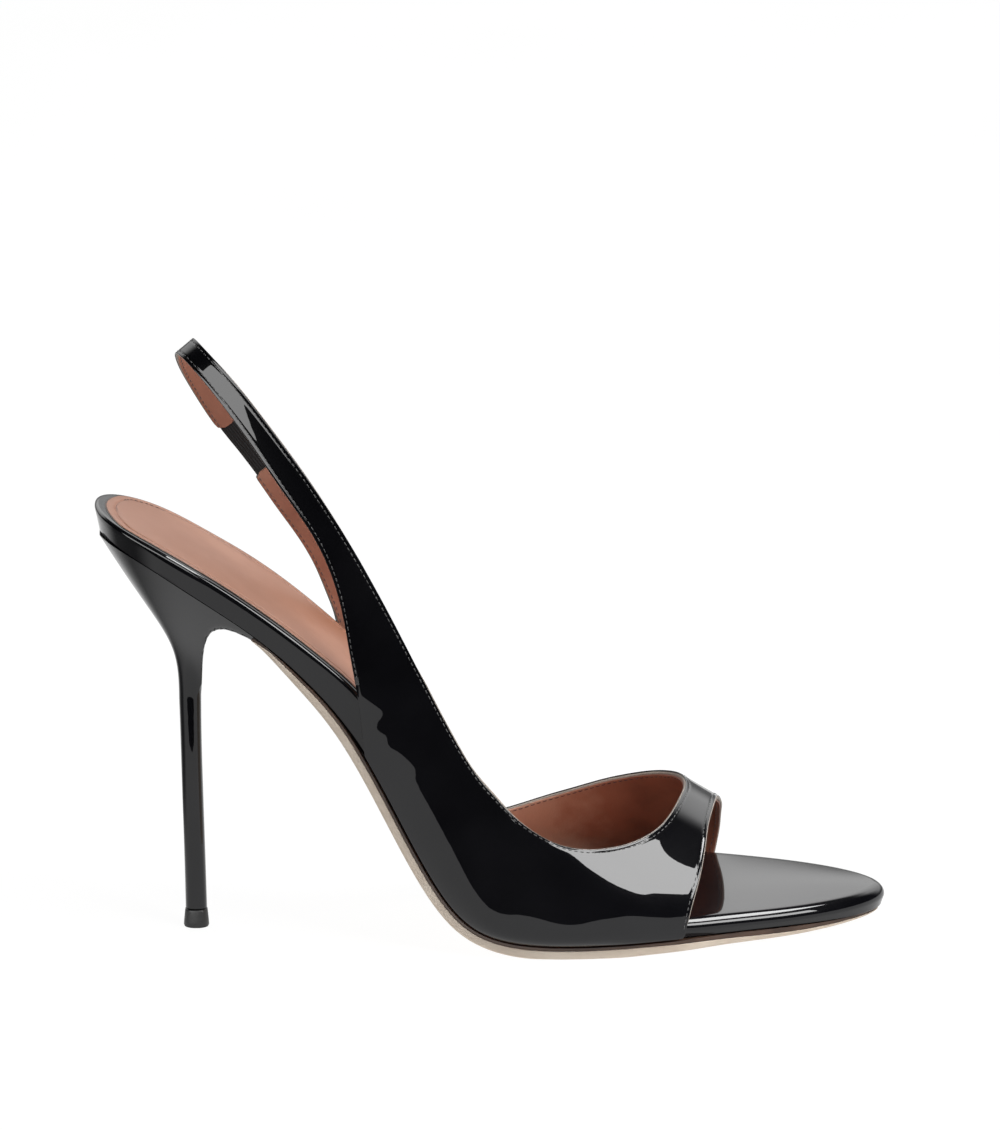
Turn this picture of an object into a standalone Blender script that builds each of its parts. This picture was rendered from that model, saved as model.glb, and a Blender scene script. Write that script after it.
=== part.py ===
"""Right-foot slingback stiletto sandal with an open toe, black patent leather on a tan lining.

Each piece that a shoemaker puts together is one object. Sizes are in millimetres until a mesh is made.
Along the shoe, x counts from the back of the heel seat towards the toe. Across it, y is negative on the
outer (lateral) side and counts from the middle of the heel. z counts from the floor. The finished shoe is
moved so that the origin lies under the middle of its box.
"""

import bpy
import numpy as np

MM = 0.001


def table(columns, rows):
    """Rows of numbers with named columns."""
    return np.array(rows, dtype=[(name, float) for name in columns.split()])


# Driving sizes of the shoe
SHOE_LENGTH = 205.2
HEEL_ROUND = 27.0
HEEL_ROUND_POWER = 2.2
TOE_ROUND = 70.0
TOE_ROUND_POWER = 1.65
END_GAP = 0.12
PIECE_GAP = 0.3
UPPER_WALL = 1.6
RIM_TOP_ROUND = 1.7
RIM_TOE_ROUND = 2.7
TOE_STRETCH = (150.0, 190.0)
RIM_BOTTOM_ROUND = 0.8
SOCK_THICKNESS = 0.9
SOCK_INSET = 1.9
SOCK_BACK = 2.0
SOCK_BACK_ROUND = 5.0
SOCK_FRONT = 148.0
SOCK_FRONT_ROUND = 14.0
OUTSOLE_START = 43.6
OUTSOLE_BEVEL = 0.7
OUTSOLE_INSET = 0.5
OUTSOLE_UNDER_PANEL = 1.4
PANEL_START = (58.0, 72.0)
PANEL_END = (150.0, 166.0)
PANEL_BASE = 0.45
UPRIGHT_BACK = 25.0
FULLEST_SHARE = 6.75
ARC_SHARE = 0.29
INSET_LIMIT = 0.45
SOCK_EDGE = 0.4
SMOOTH_ANGLE = 40.0

# Sections of the sole: a row for each place along the shoe
SOLE = table("from_heel centre half_width seat rim outsole arch_raise", [
    (0.0, 0.0, 25.2, 109.0, 6.8, 0.9, 0.0),
    (6.0, 0.0, 25.2, 107.0, 6.2, 0.9, 0.0),
    (12.5, 0.0, 25.2, 104.1, 5.6, 0.9, 0.2),
    (25.5, 0.0, 25.2, 96.2, 4.7, 0.9, 1.2),
    (33.0, -0.2, 25.0, 91.1, 4.4, 0.9, 1.9),
    (42.3, -0.9, 24.3, 84.3, 4.4, 1.0, 2.8),
    (54.9, -2.0, 22.8, 72.5, 5.8, 2.0, 3.4),
    (67.7, -2.6, 21.5, 56.1, 7.8, 2.8, 3.2),
    (79.5, -2.9, 22.4, 33.9, 7.3, 2.9, 2.6),
    (87.3, -2.5, 24.6, 19.6, 6.5, 2.9, 2.0),
    (94.5, -1.7, 27.5, 10.2, 5.9, 2.9, 1.3),
    (101.3, -0.6, 30.4, 5.9, 5.5, 3.0, 0.7),
    (108.5, 0.9, 32.9, 4.0, 5.2, 3.2, 0.3),
    (118.0, 2.7, 35.6, 3.3, 5.0, 3.3, 0.0),
    (131.0, 4.3, 36.8, 3.3, 5.0, 3.3, 0.0),
    (144.0, 5.1, 36.4, 3.6, 5.0, 3.0, 0.0),
    (157.0, 5.5, 35.6, 3.9, 5.0, 2.9, 0.0),
    (170.0, 5.6, 34.9, 4.1, 4.8, 2.7, 0.0),
    (183.0, 5.6, 34.8, 4.2, 4.5, 2.4, 0.0),
    (205.2, 5.6, 35.2, 4.7, 4.0, 1.9, 0.0),
])

# Shaft of the heel: a row for each height
HEEL_SHAFT = table("height back front half_depth", [
    (5.2, 22.9, 28.5, 2.95),
    (22.0, 22.6, 28.1, 2.85),
    (42.0, 22.1, 27.6, 2.85),
    (55.0, 21.8, 27.4, 2.95),
    (62.0, 21.6, 27.4, 3.1),
])
HEEL_FRONT = 43.2
HEEL_AXIS = 24.8
HEEL_SQUARE = 2.4
SEAT_REACH = 60.0
SEAT_HALVINGS = 40
SEAT_RINGS = (0.75, 0.45, 0.15)

# Wearing cap of the heel: how far it stands out past the shaft at each height
HEEL_TIP = table("height spread", [
    (0.0, 0.25),
    (0.4, 0.5),
    (4.4, 0.15),
    (4.9, 0.0),
])

# Flare of the heel from shaft to seat: shares of the drop and of the way inwards at its two bending points
FLARE = table("lower_drop upper_drop upper_inward", [
    (0.76, 0.55, 0.71),
    (0.30, 0.02, 0.86),
])
FLARE_BACK, FLARE_FRONT = 0, 1

# Ribs of the upper: each runs from the lower edge of its outer face to the edge of the throat
EDGE_RIB = "edge_x edge_y edge_z top_x top_y top_z bulge"
SIDE_RIB = "sole_x top_x top_y top_z bulge"
RIDGE = table(EDGE_RIB, [(162.9, 5.0, 30.4, 153.8, 5.0, 36.5, 0.0)])
BACK = table(EDGE_RIB, [(21.2, 0.0, 155.2, 26.0, 0.0, 159.3, 0.0)])
LATERAL_TOE = table(EDGE_RIB, [
    (161.2, -6.0, 30.2, 152.7, -5.0, 36.2, 0.3),
    (159.4, -15.2, 27.2, 150.2, -14.2, 34.2, 0.6),
    (157.7, -22.4, 21.9, 146.8, -20.4, 31.9, 1.0),
    (156.3, -27.0, 15.6, 142.4, -24.6, 30.1, 1.5),
    (155.0, -29.3, 9.6, 137.5, -27.7, 29.1, 2.0),
])
LATERAL_SIDE = table(SIDE_RIB, [
    (153.0, 132.0, -30.2, 28.8, 2.3),
    (146.5, 126.0, -31.9, 29.3, 2.5),
    (138.5, 120.0, -32.6, 31.0, 2.5),
    (129.5, 114.0, -32.8, 34.3, 2.4),
    (119.5, 108.5, -32.4, 38.6, 2.3),
    (109.5, 104.0, -31.4, 43.2, 2.2),
    (100.5, 99.5, -30.0, 48.3, 2.1),
    (93.0, 95.5, -29.2, 54.5, 2.0),
    (86.5, 92.0, -28.5, 60.9, 1.8),
    (80.5, 88.5, -27.9, 67.7, 1.6),
    (75.0, 85.5, -27.4, 73.8, 1.4),
    (69.5, 82.3, -26.9, 80.3, 1.2),
])
LATERAL_SLING = table(EDGE_RIB, [
    (68.2, -26.3, 69.1, 79.0, -26.6, 87.0, 0.9),
    (66.4, -25.9, 79.7, 75.9, -26.2, 93.1, 0.6),
    (64.8, -25.4, 89.3, 73.0, -25.8, 98.6, 0.4),
    (62.3, -24.5, 99.5, 69.5, -25.1, 105.0, 0.2),
    (58.4, -23.8, 109.2, 65.5, -24.4, 111.9, 0.0),
    (53.6, -22.9, 117.2, 60.0, -23.6, 120.8, 0.0),
    (47.2, -21.5, 126.5, 53.2, -22.2, 130.8, 0.0),
    (40.6, -19.4, 136.3, 46.2, -20.0, 140.1, 0.0),
    (34.0, -16.4, 145.0, 39.2, -17.0, 148.8, 0.0),
    (28.2, -12.2, 151.5, 33.2, -12.9, 155.1, 0.0),
    (23.8, -7.0, 155.2, 28.8, -7.4, 158.6, 0.0),
])
MEDIAL_TOE = table(EDGE_RIB, [
    (162.9, 15.0, 29.0, 152.6, 13.5, 36.4, 0.4),
    (162.8, 24.0, 25.8, 149.2, 20.8, 35.3, 0.8),
    (162.4, 31.4, 20.8, 144.4, 26.0, 33.8, 1.4),
    (161.9, 36.2, 15.2, 138.4, 30.0, 31.8, 2.2),
    (161.5, 38.6, 9.5, 132.0, 32.8, 29.6, 3.0),
])
MEDIAL_SIDE = table(SIDE_RIB, [
    (161.0, 125.5, 34.6, 27.2, 3.5),
    (153.0, 119.0, 35.7, 25.0, 3.5),
    (144.0, 113.0, 35.7, 23.1, 3.4),
    (134.0, 107.5, 34.9, 21.6, 3.2),
    (123.5, 102.5, 33.4, 20.9, 2.9),
    (113.5, 98.0, 31.2, 21.6, 2.5),
    (104.5, 94.0, 28.6, 24.6, 2.2),
    (96.5, 90.5, 26.4, 29.6, 1.9),
    (90.0, 87.0, 24.7, 36.9, 1.7),
    (83.5, 83.5, 23.5, 45.6, 1.5),
    (77.5, 80.3, 22.7, 54.4, 1.3),
    (70.5, 77.0, 22.2, 63.6, 1.1),
    (63.8, 73.6, 22.0, 72.8, 0.9),
])
MEDIAL_SLING = table(EDGE_RIB, [
    (62.2, 22.3, 77.2, 70.2, 22.0, 81.6, 0.5),
    (60.1, 22.4, 83.5, 66.8, 22.0, 89.5, 0.3),
    (57.0, 22.1, 91.4, 63.2, 21.9, 97.3, 0.1),
    (52.6, 21.6, 99.4, 58.5, 21.5, 104.5, 0.0),
    (47.2, 20.8, 107.5, 52.8, 20.8, 111.6, 0.0),
    (41.3, 20.1, 116.6, 46.6, 20.1, 120.3, 0.0),
    (36.6, 19.0, 123.4, 41.8, 19.1, 126.9, 0.0),
    (32.2, 17.4, 129.6, 37.3, 17.6, 133.1, 0.0),
    (27.6, 14.6, 137.4, 32.7, 15.0, 140.9, 0.0),
    (23.9, 10.8, 144.9, 29.0, 11.2, 148.7, 0.0),
    (21.8, 5.8, 150.6, 26.8, 6.0, 154.9, 0.0),
])
ELASTIC_MIDDLE = 6
ELASTIC_EDGE_INSET = 0.7
ELASTIC_THICKNESS = 1.0

# How finely the solids are divided
SOLE_STATIONS = 46
SOLE_ACROSS = 6
HEEL_SIDES = 36
HEEL_FLARE_STEPS = 12
RIB_STEPS = 2
WALL_STEPS = 6

# Colour, roughness and metallic value of each finish
PATENT = ((0.012, 0.012, 0.013), 0.08, 0.0)
TAN_LEATHER = ((0.56, 0.33, 0.22), 0.55, 0.0)
SOLE_LEATHER = ((0.66, 0.56, 0.46), 0.6, 0.0)
BLACK_ELASTIC = ((0.015, 0.015, 0.016), 0.85, 0.0)
BLACK_RUBBER = ((0.02, 0.02, 0.021), 0.5, 0.0)


def spline(at, knots, values):
    """Natural cubic curve through the values at the knots, read at the places asked for."""
    knots = np.asarray(knots, float)
    values = np.asarray(values, float)
    count = len(knots)
    step = np.diff(knots)
    system = np.eye(count)
    target = np.zeros_like(values)
    for i in range(1, count - 1):
        system[i, i - 1:i + 2] = (step[i - 1], 2 * (step[i - 1] + step[i]), step[i])
        target[i] = 6 * ((values[i + 1] - values[i]) / step[i] - (values[i] - values[i - 1]) / step[i - 1])
    bend = np.linalg.solve(system, target)
    at = np.asarray(at, float)
    low = np.clip(np.searchsorted(knots, at, side="right") - 1, 0, count - 2)
    span = step[low]
    left = (knots[low + 1] - at) / span
    right = 1 - left
    if values.ndim > 1:
        left, right, span = left[..., None], right[..., None], span[..., None]
    curve = (left ** 3 - left) * bend[low] + (right ** 3 - right) * bend[low + 1]
    return left * values[low] + right * values[low + 1] + curve * span ** 2 / 6


def sole_size(column, x):
    """One column of the sole's sections, read between its rows."""
    return spline(x, SOLE["from_heel"], SOLE[column])


def rounding(distance, reach, power):
    """Share of the full width at a distance from a rounded end of the outline."""
    share = np.clip(np.asarray(distance, float) / reach, 0.0, 1.0)
    return (1 - (1 - share) ** power) ** (1 / power)


def half_width(x):
    """Half of the rim's width, with the heel and the toe rounded off."""
    heel = rounding(x, HEEL_ROUND, HEEL_ROUND_POWER)
    toe = rounding(SHOE_LENGTH - np.asarray(x, float), TOE_ROUND, TOE_ROUND_POWER)
    return sole_size("half_width", x) * heel * toe


def seat_height(x, y):
    """Height of the rim's underside, raised towards the inner side of the arch."""
    half = np.maximum(sole_size("half_width", x), 1.0)
    across = np.clip((y - sole_size("centre", x)) / half, -1.2, 1.2)
    return sole_size("seat", x) + sole_size("arch_raise", x) * (across + 1) / 2


def sole_normal(x):
    """Direction square to the sole in side view, upright at the back of the heel."""
    nudge = 0.2
    slope = (sole_size("seat", x + nudge) - sole_size("seat", x - nudge)) / (2 * nudge)
    slope = slope * ease(x, (0.0, UPRIGHT_BACK))
    length = np.hypot(slope, 1.0)
    return -slope / length, 1.0 / length


def ease(x, span):
    """Smooth share from 0 before a span to 1 after it."""
    share = np.clip((x - span[0]) / (span[1] - span[0]), 0.0, 1.0)
    return share ** 2 * (3 - 2 * share)


def sole_point(x, y, lift):
    """Point over the rim's underside at a distance measured square to the sole."""
    out_x, out_z = sole_normal(x)
    return np.array([x + lift * out_x, y, seat_height(x, y) + lift * out_z])


def rounded_stations(start, end, count):
    """Places along the shoe, closer together towards both ends."""
    turn = np.linspace(0.0, np.pi, count)
    return start + (end - start) * (1 - np.cos(turn)) / 2


def layer_ring(x, half, profile):
    """Closed section of one layer of the sole.

    The profile lists (inset, lift) from the lower edge of the side to its upper edge.
    """
    centre = float(sole_size("centre", x))
    half = float(half)
    most = INSET_LIMIT * half
    side = [(half - min(inset, most), lift) for inset, lift in profile]
    lateral = [sole_point(x, centre - reach, lift) for reach, lift in side]
    medial = [sole_point(x, centre + reach, lift) for reach, lift in reversed(side)]
    shares = np.linspace(-1.0, 1.0, SOLE_ACROSS + 1)[1:-1]
    top = [sole_point(x, centre + share * side[-1][0], side[-1][1]) for share in shares]
    bottom = [sole_point(x, centre - share * side[0][0], side[0][1]) for share in shares]
    return lateral + top + medial + bottom


def rings_solid(rings):
    """Closed solid through a row of rings with the same number of points."""
    count = len(rings[0])
    points = np.array([point for ring in rings for point in ring])
    faces = []
    for i in range(len(rings) - 1):
        for j in range(count):
            k = (j + 1) % count
            faces.append((i * count + j, (i + 1) * count + j, (i + 1) * count + k, i * count + k))
    faces.append(tuple(range(count)))
    faces.append(tuple(reversed(range((len(rings) - 1) * count, len(rings) * count))))
    return points, faces


def footbed_rim():
    """Insole board wrapped in patent leather, with a rounded upper edge."""
    rings = []
    for x in rounded_stations(END_GAP, SHOE_LENGTH - END_GAP, SOLE_STATIONS):
        thick = float(sole_size("rim", x))
        top_round = RIM_TOP_ROUND + (RIM_TOE_ROUND - RIM_TOP_ROUND) * ease(x, TOE_STRETCH)
        profile = (
            (RIM_BOTTOM_ROUND, 0.0),
            (0.0, RIM_BOTTOM_ROUND),
            (0.0, thick - top_round),
            (ARC_SHARE * top_round, thick - ARC_SHARE * top_round),
            (top_round, thick),
        )
        rings.append(layer_ring(x, half_width(x), profile))
    return rings_solid(rings)


def sock():
    """Tan lining on the board, from the heel to under the vamp."""
    rings = []
    for x in rounded_stations(SOCK_BACK, SOCK_FRONT, SOLE_STATIONS):
        bottom = float(sole_size("rim", x)) + PIECE_GAP
        half = half_width(x) - SOCK_INSET
        half = half * rounding(x - SOCK_BACK + END_GAP, SOCK_BACK_ROUND, HEEL_ROUND_POWER)
        half = half * rounding(SOCK_FRONT - x + END_GAP, SOCK_FRONT_ROUND, HEEL_ROUND_POWER)
        profile = ((0.0, bottom), (0.0, bottom + SOCK_THICKNESS / 2), (SOCK_EDGE, bottom + SOCK_THICKNESS))
        rings.append(layer_ring(x, half, profile))
    return rings_solid(rings)


def outsole():
    """Leather sole from the breast of the heel to the toe, flat on the floor under the ball."""
    rings = []
    for x in rounded_stations(OUTSOLE_START, SHOE_LENGTH - 2 * OUTSOLE_INSET, SOLE_STATIONS):
        thick = float(sole_size("outsole", x))
        top = -PIECE_GAP
        under_panel = ease(x, PANEL_START) * (1 - ease(x, PANEL_END))
        half = half_width(x) - OUTSOLE_INSET + OUTSOLE_UNDER_PANEL * under_panel
        profile = ((OUTSOLE_BEVEL, top - thick), (0.0, top - thick + OUTSOLE_BEVEL), (0.0, top))
        ring = np.array(layer_ring(x, half, profile))
        ring[:, 2] = np.maximum(ring[:, 2], 0.0)
        rings.append(ring)
    return rings_solid(rings)


def shaft_ring(height, back, front, half_depth, spread=0.0):
    """Rounded-square section of the heel's shaft."""
    middle = (back + front) / 2
    reach = (front - back) / 2 + spread
    turn = np.linspace(0.0, 2 * np.pi, HEEL_SIDES, endpoint=False)
    power = 2 / HEEL_SQUARE
    along = np.sign(np.cos(turn)) * np.abs(np.cos(turn)) ** power
    across = np.sign(np.sin(turn)) * np.abs(np.sin(turn)) ** power
    return np.column_stack([
        middle + reach * along,
        (half_depth + spread) * across,
        np.full(HEEL_SIDES, height),
    ])


def seat_outline(turn):
    """Point of the heel's seat in a direction from the heel's axis, found by halving."""
    near, far = 0.0, SEAT_REACH
    for _ in range(SEAT_HALVINGS):
        reach = (near + far) / 2
        x = HEEL_AXIS + reach * np.cos(turn)
        y = reach * np.sin(turn)
        inside = PIECE_GAP < x < HEEL_FRONT
        inside = inside and abs(y - float(sole_size("centre", x))) < float(half_width(x)) - PIECE_GAP
        near, far = (reach, far) if inside else (near, reach)
    return np.array([HEEL_AXIS + near * np.cos(turn), near * np.sin(turn)])


def on_seat(points):
    """Points of the plan set just under the rim."""
    return np.array([sole_point(x, y, -PIECE_GAP) for x, y in points])


def heel():
    """Covered heel block: slim shaft, flare to the seat and a seat that follows the rim."""
    rings = [shaft_ring(*row) for row in HEEL_SHAFT]
    turns = np.linspace(0.0, 2 * np.pi, HEEL_SIDES, endpoint=False)
    plan = np.array([seat_outline(turn) for turn in turns])
    seat = on_seat(plan)
    foot = rings[-1]
    forward = (1 + np.cos(turns)) / 2
    drop = seat[:, 2] - foot[:, 2]
    bend = {name: FLARE[name][FLARE_BACK] * (1 - forward) + FLARE[name][FLARE_FRONT] * forward
            for name in FLARE.dtype.names}
    lower = foot.copy()
    lower[:, 2] = seat[:, 2] - bend["lower_drop"] * drop
    upper = seat + (foot - seat) * bend["upper_inward"][:, None]
    upper[:, 2] = seat[:, 2] - bend["upper_drop"] * drop
    for share in np.linspace(0.0, 1.0, HEEL_FLARE_STEPS + 1)[1:]:
        rest = 1 - share
        ring = rest ** 3 * foot + 3 * rest ** 2 * share * lower
        rings.append(ring + 3 * rest * share ** 2 * upper + share ** 3 * seat)
    axis = np.array([HEEL_AXIS, 0.0])
    for share in SEAT_RINGS:
        rings.append(on_seat(axis + share * (plan - axis)))
    points, faces = rings_solid(rings)
    return points, [tuple(reversed(face)) for face in faces]


def heel_tip():
    """Wearing cap under the shaft, a little wider at the floor."""
    foot = HEEL_SHAFT[0]
    rings = [shaft_ring(row["height"], foot["back"], foot["front"], foot["half_depth"], row["spread"])
             for row in HEEL_TIP]
    points, faces = rings_solid(rings)
    return points, [tuple(reversed(face)) for face in faces]


def stand_on_sole(rows, side):
    """Ribs whose lower end lies on the sole, just outside the rim. Side is -1 lateral, 1 medial."""
    ribs = []
    for sole_x, *top in rows:
        reach = float(half_width(sole_x)) + PIECE_GAP + UPPER_WALL
        edge = sole_point(sole_x, float(sole_size("centre", sole_x)) + side * reach, PANEL_BASE)
        ribs.append((*edge, *top))
    return table(EDGE_RIB, ribs)


def upper_ribs():
    """All ribs around the shoe, from the middle of the elastic back to it, and the ribs at corners."""
    lateral_side = stand_on_sole(LATERAL_SIDE, -1)
    medial_side = stand_on_sole(MEDIAL_SIDE, 1)
    around = [
        MEDIAL_SLING[ELASTIC_MIDDLE:],
        BACK,
        LATERAL_SLING[::-1],
        lateral_side[::-1],
        LATERAL_TOE[::-1],
        RIDGE,
        MEDIAL_TOE,
        medial_side,
        MEDIAL_SLING[:ELASTIC_MIDDLE + 1],
    ]
    ends = np.cumsum([len(rows) for rows in around])
    corners = [0, ends[2], ends[3] - 1, ends[6], ends[7] - 1, ends[8] - 1]
    return np.concatenate(around), corners


def rib_ends(ribs, end):
    """Points at one end of the ribs: edge or top."""
    return np.column_stack([ribs[end + "_x"], ribs[end + "_y"], ribs[end + "_z"]])


def rib_knots(ribs):
    """Length along the middle of the strip at each rib."""
    middle = (rib_ends(ribs, "edge") + rib_ends(ribs, "top")) / 2
    return np.concatenate([[0.0], np.cumsum(np.linalg.norm(np.diff(middle, axis=0), axis=1))])


def read_ribs(places):
    """Lower edge, throat edge and bulge at places along the strip."""
    ribs, corners = upper_ribs()
    knots = rib_knots(ribs)
    top = spline(places, knots, rib_ends(ribs, "top"))
    bulge = np.maximum(spline(places, knots, ribs["bulge"]), 0.0)
    edge = rib_ends(ribs, "edge")
    low = np.zeros_like(top)
    for first, last in zip(corners[:-1], corners[1:]):
        part = slice(first, last + 1)
        inside = (places >= knots[first]) & (places <= knots[last])
        low[inside] = spline(places[inside], knots[part], edge[part])
    return low, top, bulge


def outer_face(places, shares):
    """Grid of points on the upper's outer face, and the outward direction at each."""
    low, top, bulge = read_ribs(places)
    shares = np.asarray(shares)[None, :, None]
    flat = low[:, None] * (1 - shares) + top[:, None] * shares
    along = np.gradient((low + top) / 2, places, axis=0)
    out = np.cross(along, top - low)
    out = out / np.linalg.norm(out, axis=1, keepdims=True)
    swell = FULLEST_SHARE * shares * (1 - shares) ** 2
    grid = flat + swell * (bulge[:, None] * out)[:, None]
    lengthwise = np.gradient(grid, axis=0)
    upward = np.gradient(grid, axis=1)
    normal = np.cross(lengthwise, upward)
    return grid, normal / np.linalg.norm(normal, axis=2, keepdims=True)


def wall_solid(outer, inner):
    """Closed wall between two grids of points."""
    rows, columns = outer.shape[:2]
    points = np.concatenate([outer.reshape(-1, 3), inner.reshape(-1, 3)])
    back = rows * columns

    def at(i, j):
        return i * columns + j

    faces = []
    for i in range(rows - 1):
        for j in range(columns - 1):
            face = (at(i, j), at(i + 1, j), at(i + 1, j + 1), at(i, j + 1))
            faces.append(face)
            faces.append(tuple(back + k for k in reversed(face)))
        last = columns - 1
        faces.append((at(i, 0), back + at(i, 0), back + at(i + 1, 0), at(i + 1, 0)))
        faces.append((at(i, last), at(i + 1, last), back + at(i + 1, last), back + at(i, last)))
    for j in range(columns - 1):
        last = rows - 1
        faces.append((at(0, j), at(0, j + 1), back + at(0, j + 1), back + at(0, j)))
        faces.append((at(last, j), back + at(last, j), back + at(last, j + 1), at(last, j + 1)))
    return points, faces


def upper():
    """Vamp, side panels and slingback strap as one hollow wall."""
    ribs, _ = upper_ribs()
    knots = rib_knots(ribs)[1:-1]
    steps = [np.linspace(a, b, RIB_STEPS, endpoint=False) for a, b in zip(knots[:-1], knots[1:])]
    places = np.concatenate(steps + [knots[-1:]])
    outer, normal = outer_face(places, np.linspace(0.0, 1.0, WALL_STEPS + 1))
    return wall_solid(outer, outer - UPPER_WALL * normal)


def elastic():
    """Elastic gore between the two ends of the inner strap."""
    ribs, _ = upper_ribs()
    knots = rib_knots(ribs)
    before = np.linspace(knots[-2] + PIECE_GAP, knots[-1], RIB_STEPS + 2)
    after = np.linspace(0.0, knots[1] - PIECE_GAP, RIB_STEPS + 2)
    low, top, _ = read_ribs(before)
    width = np.linalg.norm(top - low, axis=1).mean()
    inset = ELASTIC_EDGE_INSET / width
    shares = np.linspace(inset, 1 - inset, WALL_STEPS // 2 + 1)
    grid_before, out_before = outer_face(before, shares)
    grid_after, out_after = outer_face(after, shares)
    grid = np.concatenate([grid_before, grid_after[1:]])
    out = np.concatenate([out_before, out_after[1:]])
    depth = (UPPER_WALL - ELASTIC_THICKNESS) / 2
    return wall_solid(grid - depth * out, grid - (depth + ELASTIC_THICKNESS) * out)


def finish_material(name, finish):
    """Principled material from a colour, a roughness and a metallic value."""
    colour, roughness, metallic = finish
    material = bpy.data.materials.new(name)
    material.use_nodes = True
    shader = material.node_tree.nodes["Principled BSDF"]
    shader.inputs["Base Color"].default_value = (*colour, 1.0)
    shader.inputs["Roughness"].default_value = roughness
    shader.inputs["Metallic"].default_value = metallic
    return material


def add_object(name, points, faces, material):
    """Mesh object in metres, smooth where its faces turn gently."""
    mesh = bpy.data.meshes.new(name)
    mesh.from_pydata((points * MM).tolist(), [], faces)
    mesh.validate()
    mesh.shade_smooth()
    mesh.set_sharp_from_angle(angle=np.radians(SMOOTH_ANGLE))
    mesh.materials.append(material)
    piece = bpy.data.objects.new(name, mesh)
    bpy.context.scene.collection.objects.link(piece)
    return piece


def main():
    """Build every piece and stand the shoe over the origin."""
    for old in list(bpy.data.objects):
        bpy.data.objects.remove(old, do_unlink=True)
    pieces = {
        "outsole": (outsole(), SOLE_LEATHER),
        "footbed_rim": (footbed_rim(), PATENT),
        "sock": (sock(), TAN_LEATHER),
        "heel": (heel(), PATENT),
        "heel_tip": (heel_tip(), BLACK_RUBBER),
        "upper": (upper(), PATENT),
        "elastic": (elastic(), BLACK_ELASTIC),
    }
    everything = np.concatenate([points for (points, _), _ in pieces.values()])
    middle = (everything.min(axis=0) + everything.max(axis=0)) / 2
    under = np.array([middle[0], middle[1], 0.0])
    for name, ((points, faces), finish) in pieces.items():
        add_object(name, points - under, faces, finish_material(name + "_finish", finish))


main()
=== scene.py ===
import bmesh
import bpy
import numpy as np
from mathutils import Matrix, Vector


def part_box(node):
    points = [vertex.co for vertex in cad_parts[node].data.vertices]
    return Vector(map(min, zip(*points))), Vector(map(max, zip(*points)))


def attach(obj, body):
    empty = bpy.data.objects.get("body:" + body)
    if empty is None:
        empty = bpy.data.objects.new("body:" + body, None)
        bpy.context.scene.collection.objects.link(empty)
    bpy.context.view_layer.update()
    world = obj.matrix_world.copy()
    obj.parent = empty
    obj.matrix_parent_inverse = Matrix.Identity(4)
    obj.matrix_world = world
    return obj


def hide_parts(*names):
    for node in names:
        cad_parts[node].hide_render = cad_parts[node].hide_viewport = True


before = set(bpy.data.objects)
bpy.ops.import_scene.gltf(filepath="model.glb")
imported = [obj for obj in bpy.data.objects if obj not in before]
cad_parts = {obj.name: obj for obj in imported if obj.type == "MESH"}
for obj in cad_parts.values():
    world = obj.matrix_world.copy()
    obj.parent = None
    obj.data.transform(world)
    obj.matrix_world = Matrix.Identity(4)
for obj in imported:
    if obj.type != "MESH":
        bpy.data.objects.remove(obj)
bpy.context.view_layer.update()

MM = 0.001


def table(columns, rows):
    """Rows of numbers with named columns."""
    return np.array(rows, dtype=[(name, float) for name in columns.split()])


# Driving sizes of the shoe
SHOE_LENGTH = 205.2
HEEL_ROUND = 27.0
HEEL_ROUND_POWER = 2.2
TOE_ROUND = 70.0
TOE_ROUND_POWER = 1.75
PIECE_GAP = 0.3
UPPER_WALL = 1.6
RIM_TOP_ROUND = 1.1
RIM_TOE_ROUND = 3.0
RIM_TOE_CROWN = 0.8
TOE_STRETCH = (138.0, 158.0)
CROWN_STRETCH = (148.0, 172.0)
CROWN_HALF = (3.0, 22.0)
RIM_BOTTOM_ROUND = 0.3
RIM_TAPER = (1.15, 0.7)
TAPER_STRETCH = (60.0, 140.0)
RIM_SIDE_SHARES = (0.06, 0.4, 0.74)
SOCK_THICKNESS = 0.3
SOCK_LIFT = 0.03
SOCK_INSET = 2.4
SOCK_BACK = 3.0
SOCK_BACK_ROUND = 5.0
SOCK_FRONT = 148.0
SOCK_FRONT_ROUND = 14.0
SOCK_EDGE_ROUND = 0.2
SOCK_CROWN = 0.25
# Dark plate round the sock, painted shade of the gap between sock and rim: how far it stands out and how high
SOCK_GAP_SHADE_REACH = 0.35
SOCK_GAP_SHADE_HEIGHT = 0.2
OUTSOLE_START = 41.5
OUTSOLE_BEVEL = 0.7
OUTSOLE_INSET = 0.4
OUTSOLE_UNDER_PANEL = 1.4
OUTSOLE_TOE_INSET = 1.0
OUTSOLE_TOE = (180.0, 202.0)
OUTSOLE_HEEL_INSET = 1.1
OUTSOLE_HEEL = (43.5, 51.0)
STAINED_SHARE = 0.25
STAINED_START = (40.0, 46.5)
STAINED_TOE = (140.0, 185.0)
STAINED_TOE_SHARE = 0.3
STAINED_INSET = 0.15
THIN_SHARE = 0.45
PANEL_START = (58.0, 72.0)
PANEL_END = (150.0, 166.0)
PANEL_BASE = 0.45
UPRIGHT_BACK = 25.0
SLOPE_NUDGE = 0.2
WIDEST_SHARE = 1.2
LEAST_HALF = 1.0
FULLNESS_STEPS = 100
TIP_WIDTH = 0.01

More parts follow.
